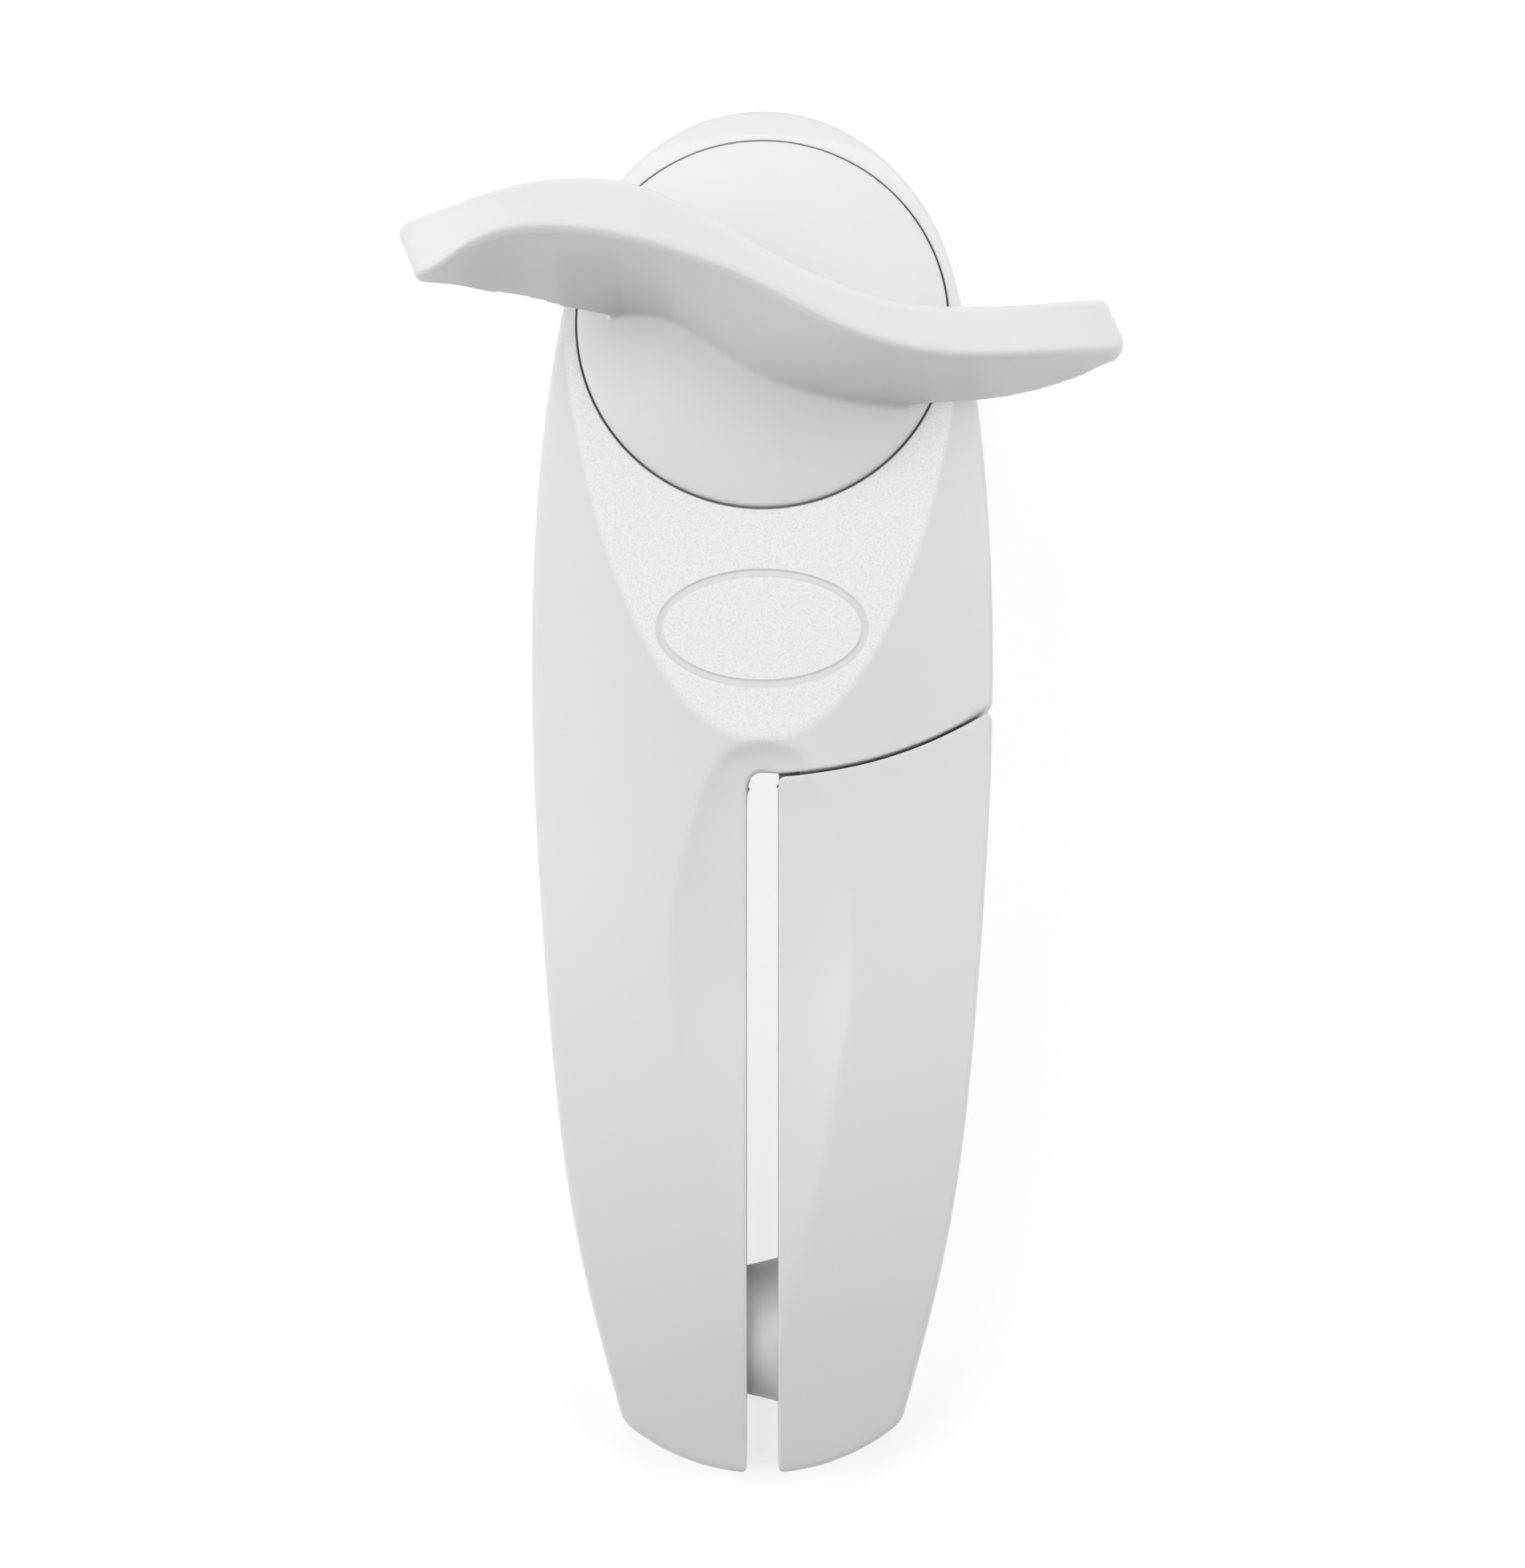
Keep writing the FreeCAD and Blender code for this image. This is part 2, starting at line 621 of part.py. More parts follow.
def front_housing():
    outer = front_block("housing_outer", lever_region, 0.0)
    recess = Part.Circle(Vector(), Vector(0, 0, 1), size("knob_recess_radius"))
    plan = add_sketch(outer, "recess_plan", "XY_Plane", [recess], level=cell("panel_height"))
    pocket(outer, "knob_recess", plan, "sizes.panel_height - sizes.knob_recess_floor")
    centre = Vector(0, size("badge_along"), 0)
    ring = []
    for inset in (0.0, size("badge_groove_width")):
        across, along = size("badge_half_width") - inset, size("badge_half_height") - inset
        ring.append(Part.Ellipse(centre + Vector(across, 0, 0), centre + Vector(0, along, 0), centre))
    plan = add_sketch(outer, "oval_plan", "XY_Plane", ring, level=cell("panel_height"))
    pocket(outer, "oval_groove", plan, cell("badge_groove_depth"))

    core = front_block("housing_core", lever_region, size("wall"))
    under = Part.Circle(Vector(), Vector(0, 0, 1), size("knob_recess_radius") + size("wall"))
    plan = add_sketch(core, "core_recess", "XY_Plane", [under],
                      level="sizes.knob_recess_floor - sizes.wall")
    pocket(core, "core_ceiling", plan, "10", reverse=True)

    places = PLATE_SCREWS + HOUSING_SCREWS
    kept = bosses("housing_boss", places, [0] * len(places), [40] * len(places))
    kept.append(cylinder("pivot_boss", cell("flange_radius"), cell("pivot_boss_low"), "40",
                         **at(PIVOT)))
    kept.append(cylinder("shaft_boss", "sizes.bush_radius + 3", cell("upper_bush_low"), "40"))
    void = cut("housing_void", core, fuse("housing_bosses", kept))
    ways = screw_ways("housing_front_way", places, PLATE_SEATS + HOUSING_SEATS,
                      cell("screw_radius"))
    ways.append(cylinder("housing_pin_way", cell("shaft_radius"), "0", cell("pivot_pin_high"),
                         **at(PIVOT)))
    ways.append(cylinder("housing_bush_way", cell("bush_radius"), "15", "40"))
    ways.append(box("arm_way", ("sizes.slot_half + 1.2", "-75", "0"),
                    ("45", "-16", "sizes.arm_high + sizes.arm_clearance")))
    ways.append(lug_solid("lug_way", LUG_CLEARANCE))
    shell = cut("housing_shell", outer, void)
    finish(cut("front_housing_solid", shell, fuse("housing_ways", ways)), "front_housing")


def back_moulding(label, region, places, seats, tops):
    outer = back_block(label + "_outer", region, 0.0)
    core = back_block(label + "_core", region, size("wall"))
    lows = [underside_height(place[1]) + 1.0 for place in places]
    handle = [(p, low, top) for p, low, top in zip(places, lows, tops)
              if p[1] < UNDERSIDE_TURN[0]]
    kept = bosses(label + "_boss", *zip(*handle))
    shell = cut(label + "_shell", outer, core)
    whole = fuse(label + "_whole", [shell] + kept)
    ways = screw_ways(label + "_way", places, seats, SCREW_WAY)
    return whole, ways


def rear_cover():
    tops = [split_height(place[1]) for place in HOUSING_SCREWS]
    whole, ways = back_moulding("rear_cover", lever_region, HOUSING_SCREWS, HOUSING_SEATS, tops)
    for index, place in enumerate(PLATE_SCREWS):
        ways.append(cylinder(f"plate_screw_way_{index}", SCREW_WAY, "0", "20", **at(place)))
    ways.append(cylinder("cover_pin_way", cell("shaft_radius"), "0", "20", **at(PIVOT)))
    ways.append(cylinder("cover_bush_way", cell("bush_radius"), "0", "20"))
    ways.append(cylinder("slot_relief", cell("slot_relief_radius"), "0", "20",
                         along="sizes.slot_relief_along"))
    ways.append(CUTTER_WAY)
    finish(cut("rear_cover_solid", whole, fuse("rear_cover_ways", ways)), "rear_cover")


def base_plate():
    body = new_body("plate_blank")
    plan = add_sketch(body, "plate_plan", "XY_Plane", outline(size("plate_inset")),
                      level=cell("plate_low"))
    pad(body, "plate_pad", plan, "sizes.floor_low - sizes.plate_low")
    away = chain([(-FAR, -20.0), (FAR, -20.0), (FAR, -FAR), (-FAR, -FAR)])
    pocket(body, "plate_end", add_sketch(body, "plate_away", "XY_Plane", away), THROUGH,
           both_ways=True)
    ways = screw_ways("plate_way", PLATE_SCREWS, PLATE_SEATS, SCREW_WAY)
    ways.append(cylinder("plate_pin_way", cell("shaft_radius"), "0", "20", **at(PIVOT)))
    ways.append(cylinder("plate_bush_way", cell("bush_radius"), "0", "20"))
    ways.append(CUTTER_WAY)
    finish(cut("base_plate_solid", body, fuse("plate_ways", ways)), "base_plate")


def arm_solid():
    """The lever's steel arm: an eye on the pivot, a neck past the shaft, a tang in the handle."""
    body = new_body("arm_blank")
    edge = chain([(0.6, 14.0), (7.0, 2.0), (6.0, -25.0), (6.0, -104.0), (22.0, -104.0),
                  (24.0, -66.0), (20.0, -25.0), (20.5, 0.0), (13.9, 18.0)])
    plan = add_sketch(body, "arm_plan", "XY_Plane", edge, level=cell("arm_low"))
    pad(body, "arm_pad", plan, "sizes.arm_high - sizes.arm_low")
    eye = Part.Circle(PIVOT, Vector(0, 0, 1), size("flange_radius"))
    plan = add_sketch(body, "arm_eye", "XY_Plane", [eye], level=cell("arm_low"))
    pad(body, "arm_eye_pad", plan, "sizes.arm_high - sizes.arm_low")
    return body


ARM = arm_solid()


def lever_arm_plate():
    ways = [cylinder("arm_pivot_way", cell("pivot_bush_radius"), "0", "30", **at(PIVOT)),
            cylinder("arm_axle_way", cell("shaft_radius"), "0", "30", **at(CUTTER))]
    for index, place in enumerate(LEVER_SCREWS[:ON_ARM]):
        ways.append(cylinder(f"arm_screw_way_{index}", SCREW_WAY, "0", "30", **at(place)))
    finish(cut("arm_drilled", ARM, fuse("arm_ways", ways)), "lever_arm_plate")


def lever_shells():
    lug = lug_solid("stop_lug_solid", 0.0)
    finish(lug, "stop_lug")

    outer = front_block("lever_outer", housing_region, 0.0)
    core = front_block("lever_core", housing_region, size("wall"))
    lows = [size("arm_high")] * ON_ARM + [0]
    kept = bosses("lever_boss", LEVER_SCREWS, lows, [40] * len(LEVER_SCREWS))
    void = cut("lever_void", core, fuse("lever_bosses", kept))
    shell = cut("lever_shell", outer, void)
    ways = screw_ways("lever_front_way", LEVER_SCREWS, LEVER_SEATS, cell("screw_radius"))
    ways += [ARM, lug]
    finish(cut("lever_front_solid", shell, fuse("lever_ways", ways)), "lever_front_shell")

    tops = [size("arm_low")] * ON_ARM + [split_height(LEVER_SCREWS[-1][1])]
    whole, ways = back_moulding("lever_back", housing_region, LEVER_SCREWS, LEVER_SEATS, tops)
    finish(cut("lever_back_solid", whole, fuse("lever_back_ways", ways)), "lever_back_cover")


# ---------------------------------------------------------------- knob

WING_CENTRE = ((5.0, -2.7), (10.0, -5.1), (20.0, -7.8), (29.0, -8.3), (39.0, -6.8), (47.5, -4.9))
WING_BASE = ((-45.3, 0.2), (-36.0, -1.0), (-24.4, -0.8), (-14.6, -0.2), (-7.9, -4.0), (-1.3, -8.6),
             (5.4, -10.9), (13.1, -11.9), (25.0, -12.9), (37.0, -13.6), (47.5, -13.2))
WING_SLANT = 2.0       # how much further one side of each tip reaches than the other
WING_ARCH = ((0.0, 67.6), (16.0, 67.5), (28.0, 66.4), (37.0, 64.8), (43.0, 61.8), (50.0, 57.5))
WING_UNDER = ((50.0, 56.7), (44.5, 55.6), (40.5, 52.0), (35.0, 46.6), (27.0, 41.4), (20.0, 38.0))


def wing_outline(near):
    """A closed S-shaped outline from its near side; the far side is the same, turned half round."""
    far = [Vector(-p.x, -p.y, 0) for p in near]
    return [spline(near), Part.LineSegment(near[-1], far[0]), spline(far),
            Part.LineSegment(far[-1], near[0])]


def wing_top():
    centre = [Vector(-x, -y, 0) for x, y in reversed(WING_CENTRE)] + [Vector()]
    centre += [Vector(x, y, 0) for x, y in WING_CENTRE]
    middle = spline(centre)
    near = []
    for point in centre:
        along = middle.tangent(middle.parameter(point))[0]
        near.append(point + Vector(along.y, -along.x, 0) * size("wing_half_width"))
    near[0] += Vector(WING_SLANT, 0, 0)
    return wing_outline(near)


def wing():
    body = new_body("wing_blank")
    low = add_sketch(body, "wing_foot", "XY_Plane",
                     wing_outline([Vector(x, y, 0) for x, y in WING_BASE]),
                     level="sizes.knob_rim - 0.5")
    high = add_sketch(body, "wing_edge", "XY_Plane", wing_top(), level="sizes.wing_top + 0.5")
    loft = body.newObject("PartDesign::AdditiveLoft", "wing_loft")
    loft.Profile = low
    loft.Sections = [high]

    side = new_body("wing_side")
    arch = [Vector(-x, z, 0) for x, z in reversed(WING_ARCH)]
    arch += [Vector(x, z, 0) for x, z in WING_ARCH[1:]]
    under = [Vector(x, z, 0) for x, z in WING_UNDER]
    left_under = [mirrored(p) for p in reversed(under)]
    foot = size("knob_rim") - 1
    run = [under[-1], Vector(under[-1].x, foot, 0), Vector(-under[-1].x, foot, 0), left_under[0]]
    edges = [spline(arch), Part.LineSegment(arch[-1], under[0]), spline(under)]
    edges += [Part.LineSegment(a, b) for a, b in zip(run, run[1:])]
    edges += [spline(left_under), Part.LineSegment(left_under[-1], arch[0])]
    plan = add_sketch(side, "wing_side_plan", "XZ_Plane", edges)
    pad(side, "wing_side_pad", plan, "80", both_ways=True)
    return common("wing_solid", body, side)


def dome(name, less):
    """The disc's dome and straight rim, smaller all over by less."""
    rise = size("knob_crown") - size("knob_rim")
    radius = size("knob_radius")
    sphere = (radius * radius + rise * rise) / (2 * rise)
    ball = doc.addObject("Part::Sphere", name + "_ball")
    ball.Radius = sphere - less
    ball.setExpression(".Placement.Base.z", f"sizes.knob_crown - {sphere}")
    rim = cylinder(name + "_rim", f"sizes.knob_radius - {less}", "sizes.knob_low", "45")
    return common(name, rim, ball)


def knob_and_shaft():
    round_bar = cylinder("shaft_bar", cell("shaft_radius"), cell("wheel_low"), "50")
    flats = []
    for end, low, high in (("foot", "sizes.wheel_low - 1", cell("wheel_high")),
                           ("head", "33", "51")):
        for side, sign in (("near", -1), ("far", 1)):
            edges = sorted((sign * size("shaft_flats"), sign * 10.0))
            flats.append(box(f"shaft_{end}_{side}", ("-10", f"{edges[0]}", low),
                             ("10", f"{edges[1]}", high)))
    clip_levels = (cell("clip_low"), cell("clip_high"))
    groove_radius = "sizes.shaft_radius - sizes.clip_groove_depth"
    ring = cut("clip_groove", cylinder("groove_out", "sizes.shaft_radius + 1", *clip_levels),
               cylinder("groove_in", groove_radius, *clip_levels))
    keyed_bar = cut("keyed_bar", round_bar, fuse("shaft_cuts", flats + [ring]))
    thread = cylinder("shaft_thread", cell("feed_thread_radius"), "0",
                      "sizes.feed_screw_high + 0.5")
    finish(cut("shaft_solid", keyed_bar, thread), "drive_shaft")

    hollow = dome("knob_hollow", size("knob_skirt"))
    hub = cylinder("knob_hub", cell("knob_hub_radius"), "0", "60")
    void = cut("knob_void", hollow, hub)
    solid = cut("knob_shell", fuse("knob_outer", [dome("knob_dome", 0.0), wing()]), void)
    finish(cut("knob_solid", solid, keyed_bar), "knob")

    disc = cylinder("clip_disc", cell("clip_radius"), *clip_levels)
    hole = cylinder("clip_hole", groove_radius, "20", "22")
    mouth = box("clip_mouth", ("0", "-1.6", "20"), ("10", "1.6", "22"))
    finish(cut("clip_solid", disc, fuse("clip_cuts", [hole, mouth])), "shaft_clip")

    washer = cut("washer_solid", cylinder("washer_disc", cell("thrust_washer_radius"),
                                          cell("wheel_high"), cell("thrust_washer_high")),
                 cylinder("washer_hole", cell("shaft_radius"), "0", "10"))
    finish(washer, "thrust_washer")

    shank = cylinder("feed_shank", cell("feed_thread_radius"), "1", cell("feed_screw_high"))
    head = new_body("feed_head")
    radius = size("feed_head_radius")
    corners = [(radius * math.cos(k * math.pi / 3), radius * math.sin(k * math.pi / 3))
               for k in range(6)]
    plan = add_sketch(head, "head_plan", "XY_Plane", chain(corners))
    pad(head, "head_pad", plan, cell("wheel_low"))
    screw = fuse("feed_screw_solid", [head, shank])
    finish(screw, "feed_screw")

    wheel = new_body("wheel_blank")
    tip, root = size("wheel_radius"), size("wheel_radius") - size("wheel_tooth_depth")
    corners = []
    for k in range(WHEEL_TEETH):
        for share, radius in ((-0.12, tip), (0.12, tip), (0.5, root)):
            angle = 2 * math.pi * (k + share) / WHEEL_TEETH
            corners.append((radius * math.cos(angle), radius * math.sin(angle)))
    plan = add_sketch(wheel, "wheel_plan", "XY_Plane", chain(corners), level=cell("wheel_low"))
    pad(wheel, "wheel_pad", plan, "sizes.wheel_high - sizes.wheel_low")
    finish(cut("wheel_solid", wheel, keyed_bar), "feed_wheel")


# ---------------------------------------------------------------- bearings, pivot and cutter

def ring_of(label, inner, steps, place=(0, 0)):
    """Rings of one bore stacked up: steps are (radius, low, high) expressions."""
    rings = [cylinder(f"{label}_ring_{index}", radius, low, high, **at(place))
             for index, (radius, low, high) in enumerate(steps)]
    hole = cylinder(label + "_bore", inner, "-1", "60", **at(place))
    finish(cut(label + "_solid", fuse(label + "_rings", rings), hole), label)


def bearings():
    turning = "sizes.shaft_radius + sizes.running_fit"
    ring_of("upper_bush", turning,
            ((cell("bush_radius"), cell("upper_bush_low"), cell("knob_recess_floor")),
             (cell("flange_radius"), cell("knob_recess_floor"), cell("upper_bush_high"))))
    ring_of("lower_bush", turning,
            ((cell("bush_radius"), cell("plate_low"), cell("split_high")),
             ("sizes.bush_radius + 1", cell("split_high"), cell("lower_bush_high"))))
    ring_of("pivot_bush", turning,
            ((cell("pivot_flange_radius"), cell("pivot_flange_low"), cell("arm_low")),
             (cell("pivot_bush_radius"), cell("arm_low"), cell("pivot_bush_high"))), PIVOT)
    ring_of("pivot_washer", cell("shaft_radius"),
            ((cell("pivot_flange_radius"), cell("pivot_washer_low"), cell("pivot_washer_high")),),
            PIVOT)
    pin = cylinder("pin_solid", cell("shaft_radius"), cell("plate_low"), cell("pivot_pin_high"),
                   **at(PIVOT))
    finish(pin, "pivot_pin")


def cutter():
    low, shoulder = cell("axle_low"), cell("shoulder_low")
    clip_low, clip_high = cell("axle_groove_low"), cell("axle_groove_high")
    steps = ((cell("axle_rivet_radius"), cell("arm_high"), cell("axle_rivet_high")),
             (cell("shaft_radius"), "sizes.arm_low - 0.6", cell("arm_high")),
             (cell("shoulder_radius"), shoulder, cell("arm_low")),
             (cell("axle_groove_radius"), low, shoulder),
             (cell("journal_radius"), clip_high, shoulder), (cell("journal_radius"), low, clip_low))
    stack = [cylinder(f"axle_{index}", radius, low, high, **at(CUTTER))
             for index, (radius, low, high) in enumerate(steps)]
    finish(fuse("axle_solid", stack), "cutter_axle")
    ring_of("cutter_washer", cell("journal_radius"),
            ((cell("shoulder_radius"), cell("cutter_washer_low"), shoulder),), CUTTER)

    disc = cylinder("cutter_clip_disc", cell("axle_rivet_radius"), clip_low, clip_high,
                    **at(CUTTER))
    hole = cylinder("cutter_clip_hole", cell("axle_groove_radius"), "1", "3", **at(CUTTER))
    mouth = box("cutter_clip_mouth", ("sizes.cutter_across", "-1.3", "1"),
                ("sizes.cutter_across + 6", "1.3", "3"))
    clip = cut("cutter_clip_solid", disc, fuse("cutter_clip_cuts", [hole, mouth]))
    finish(clip, "cutter_clip")

    hub_radius = "sizes.cutter_radius - sizes.blade_width"
    blade = cone("blade", cell("cutter_radius"), hub_radius, cell("cutter_low"),
                 "sizes.cutter_low + sizes.blade_depth", **at(CUTTER))
    hub = cylinder("blade_hub", hub_radius, cell("cutter_low"),
                   cell("cutter_high"), **at(CUTTER))
    bore = cylinder("blade_bore", "sizes.journal_radius + sizes.running_fit", "0", "8",
                    **at(CUTTER))
    finish(cut("blade_solid", fuse("blade_whole", [blade, hub]), bore), "cutter_wheel")


front_housing()
rear_cover()
base_plate()
lever_arm_plate()
lever_shells()
knob_and_shaft()
bearings()
cutter()
screw_group("plate_screws", PLATE_SCREWS, PLATE_SEATS)
screw_group("housing_screws", HOUSING_SCREWS, HOUSING_SEATS)
screw_group("lever_screws", LEVER_SCREWS, LEVER_SEATS)

doc.recompute()
for item in doc.Objects:
    if "Invalid" in item.State or "Error" in item.State:
        raise RuntimeError(f"{item.Label} failed: {item.State}")
for subpart in SUBPARTS:
    if subpart.Shape.isNull() or not subpart.Shape.isValid():
        raise RuntimeError(f"{subpart.Label} has no valid shape")

os.makedirs("parts", exist_ok=True)
for subpart in SUBPARTS:
    subpart.Shape.exportStep(f"parts/{subpart.Label}.step")
    print(f"{subpart.Label:20s} {len(subpart.Shape.Solids)} solid(s) {subpart.Shape.Volume:10.1f} mm3")
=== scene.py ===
"""The looks of a side-cutting can opener: pale satin mouldings, a round knob with an S-shaped wing."""

import json
import math

import bpy
import numpy as np
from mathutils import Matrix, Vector
from mathutils.geometry import delaunay_2d_cdt


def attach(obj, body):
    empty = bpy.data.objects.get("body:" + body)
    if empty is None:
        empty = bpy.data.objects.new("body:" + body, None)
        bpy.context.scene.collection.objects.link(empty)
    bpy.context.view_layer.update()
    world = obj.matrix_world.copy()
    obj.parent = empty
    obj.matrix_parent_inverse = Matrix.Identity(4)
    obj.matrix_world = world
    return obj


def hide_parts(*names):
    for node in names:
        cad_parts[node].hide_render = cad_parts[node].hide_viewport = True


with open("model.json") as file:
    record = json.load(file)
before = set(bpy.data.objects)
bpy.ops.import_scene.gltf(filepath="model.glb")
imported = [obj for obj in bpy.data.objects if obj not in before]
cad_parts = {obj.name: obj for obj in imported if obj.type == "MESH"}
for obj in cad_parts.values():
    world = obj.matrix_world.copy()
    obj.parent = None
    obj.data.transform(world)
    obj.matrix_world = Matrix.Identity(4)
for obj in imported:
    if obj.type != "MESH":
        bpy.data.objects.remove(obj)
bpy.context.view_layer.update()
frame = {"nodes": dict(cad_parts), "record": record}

MM = 0.001

# ---------------------------------------------------------------- sizes of the body, in mm

# Plan: the right side from head to handle end, the slot, and the parting between head and lever.
SIDE_POINTS = ((8.2, 29.2), (14.6, 25.5), (19.5, 20.9), (25.0, 12.0), (27.9, 1.6), (31.0, -20.9),
               (31.9, -56.0), (29.8, -93.0), (25.9, -126.0), (19.6, -152.4))
HEAD_REACH, HANDLE_REACH = 30.7, 159.8
SLOT_HALF, SLOT_TOP = 2.2, 62.5
PARTING_CENTRE, PARTING_RADIUS, PARTING_GAP = (0.0, -5.5), 57.2, 0.45
PARTING_SOFT = 0.12        # share of the parting arc, from the outside, with a rounder rim
WALL, WALL_SLACK = 2.4, 0.03
FOOT_LIP, FOOT_GAP, LEAST_WALL = 0.18, 0.1, 1.4

# Along the middle: the crown's height, and the scoop's depth below the crown.
PANEL = 33.0
CROWN_RADIUS = 150.0
CROWN_POINTS = ((-175.0, 4.0), (-162.0, 10.9), (-146.0, 18.0), (-134.0, 22.1), (-118.0, 26.2),
                (-95.0, 29.9), (-72.0, 31.9), (-57.4, 33.0), (-44.0, 33.84), (-22.0, 34.9),
                (0.0, 35.5), (15.0, 35.2), (27.0, 32.9), (33.0, 30.3), (45.0, 25.2))
SCOOP_POINTS = ((-150.0, -0.6), (-136.0, 0.2), (-120.0, 1.0), (-103.0, 2.1), (-88.0, 2.85),
                (-77.0, 2.5), (-70.0, 2.15), (-66.0, 1.85), (-63.5, 1.55), (-60.5, 1.0),
                (-58.3, 0.0), (-48.0, -4.6))
# The scoop's curve across the body narrows to its upper end: places along Y, and radii there.
SCOOP_RADII = ((-79.0, -60.0), (35.0, 19.0))
PANEL_BLEND, SCOOP_BLEND = 0.05, 0.15

# Split to the back mouldings, and the ways for the lever's arm and the stop lug.
SPLIT_HIGH, SPLIT_LOW = 11.0, 7.5
SPLIT_TURN, SPLIT_END = -66.0, -165.0
ARM_WAY_TOP, LEVER_ARM_TOP = 14.6, 14.3
ARM_WAY_START, ARM_WAY_ENDS = 3.4, (-75.0, -16.0)
LEVER_ARM_SIDES, LEVER_ARM_DEPTH = (5.0, 29.0), 2.9
LUG_ALONG, LUG_AXIS, LUG_WAY_RADIUS = -139.8, 8.4, 10.7
LUG_WAY_REACH, LUG_WAY_SKIN = -13.0, 0.8
LUG_OPENING_REACH, LUG_OPENING_START = -6.2, -100.0
UNDERCUT, UNDERCUT_HALF, UNDERCUT_START = 2.8, 5.8, -50.0

RECESS_RADIUS, RECESS_FLOOR, RECESS_RIM = 26.06, 31.2, 0.14
BUSH_RADIUS = 5.0
BADGE_ALONG = -42.7
BADGE_OUTER, BADGE_INNER, BADGE_DEPTH = (14.7, 8.2), (13.75, 7.25), 0.24
BADGE_EDGE = 0.03          # share of the oval's size that each wall of the groove takes

# Rounding of the mouldings' corners in plan, and of their rims.
OUTER_CORNER, PARTING_CORNER, SLOT_CORNER = 1.5, 1.0, 0.9
OUTER_RIM, SOFT_RIM, PARTING_RIM, SLOT_END_RIM, SLOT_RIM = 0.75, 0.7, 0.32, 0.6, 0.5

# Fineness of the meshes, and how far loose points stay clear of edges.
EDGE_SPACING = 0.45
FRONT_GRID, FRONT_CLEAR = 0.6, 0.3
CEILING_GRID, CEILING_CLEAR = 2.5, 0.8
RECESS_POINTS, RECESS_STEPS = 400, (18.0, 11.0, BUSH_RADIUS)
BADGE_POINTS, BADGE_CLEAR = 320, 0.25
BADGE_STEPS = (0.28, 0.14, 0.0, -0.14, -0.3, -0.62, -0.78, -0.94, -1.08, -1.22)

# ---------------------------------------------------------------- sizes of the knob, in mm

KNOB_RADIUS, KNOB_LOW, KNOB_RIM, KNOB_CROWN = 25.76, 32.2, 33.9, 38.0
KNOB_BORE, KNOB_LOW_EDGE, KNOB_HIGH_EDGE = 3.0, 0.4, 0.3
KNOB_POINTS = 256
# Plan of the wing: the near and far edges of its top, and its near foot.
WING_NEAR_TOP = ((-46.4, 0.4), (-43.4, 1.2), (-39.6, 3.3), (-34.5, 5.1), (-27.3, 5.5), (-18.0, 4.1),
                 (-9.4, 1.4), (-0.9, -2.1), (7.6, -6.7), (14.7, -9.6), (21.1, -11.1), (28.2, -11.5),
                 (37.6, -10.8), (43.0, -10.0), (47.9, -9.2))
WING_FAR_TOP = ((-48.4, 8.1), (-43.5, 9.1), (-36.8, 10.8), (-30.3, 12.2), (-23.0, 12.5),
                (-18.0, 11.9), (-11.5, 9.4), (-5.0, 6.0), (2.0, 1.8), (9.5, -1.6), (18.0, -4.2),
                (26.9, -4.7), (31.9, -4.5), (38.5, -3.7), (46.0, -2.3))
WING_NEAR_LOW = ((-46.4, 0.6), (-40.5, 1.0), (-33.5, 1.0), (-26.4, 0.5), (-20.5, 0.6),
                 (-14.5, 0.1), (-8.5, -3.3), (-1.0, -8.4), (3.5, -10.2), (7.3, -11.0), (13.3, -11.6),
                 (19.7, -11.8), (24.5, -12.3), (29.5, -12.7), (36.6, -12.4), (43.4, -11.4),
                 (47.9, -10.0))
# Its front view: heights over the distance from the knob's axis.
WING_ARCH = ((0.0, 67.6), (16.0, 67.5), (28.0, 66.4), (37.0, 64.8), (43.0, 61.8), (50.0, 57.5))
WING_UNDER = ((20.0, 34.5), (22.4, 36.9), (27.0, 41.2), (35.0, 46.6), (40.5, 52.0), (44.5, 55.6),
              (50.0, 56.7))
WING_FOOT, WING_FOOT_REACH = 33.0, 19.4
WING_TIP, WING_RIM, WING_DRAFT = 1.6, 1.0, 0.2
WING_FILLET, WING_FILLET_HEIGHT, WING_FILLET_RADIUS = 0.3, 1.6, KNOB_RADIUS - 1.5
TIP_NARROWING, TIP_LOWERING = 0.8, 0.3
WING_STATIONS, TIP_STATIONS, WING_LEVELS = 230, 21, 30
KNOB_VOXEL, KNOB_SOFTENING = 0.3, 3

# ---------------------------------------------------------------- light and camera, in metres

FLOOR_HALF, FLOOR_LEVEL = 3.0, -0.00005
FLOOR_GLOW, WORLD_GLOW = 0.67, 0.01
LAMP_TARGET = (0.0, -0.05, 0.02)
LAMPS = (                  # name, place, size, power in watts
    ("left_box", (-0.80, 0.06, 0.70), (0.6, 1.2), 6.4),
    ("right_box", (0.80, 0.10, 0.70), (0.6, 1.2), 5.55),
    ("left_low_box", (-0.80, -0.35, 0.35), (0.5, 0.8), 1.5),
    ("right_low_box", (0.80, -0.35, 0.35), (0.5, 0.8), 0.9),
    ("far_box", (0.0, 0.95, 0.50), (1.4, 0.5), 4.2),
    ("near_box", (0.0, 0.30, 0.55), (0.4, 0.3), 0.3),
    ("top_box", (0.0, -0.05, 1.0), (1.2, 1.2), 2.9),
)
CAMERA_PLACE, CAMERA_AIM = (0.0, -0.11463, 0.58170), (0.0, -0.06440, 0.034)
CAMERA_SENSOR, CAMERA_LENS = 36.0, 91.9


# ---------------------------------------------------------------- curves

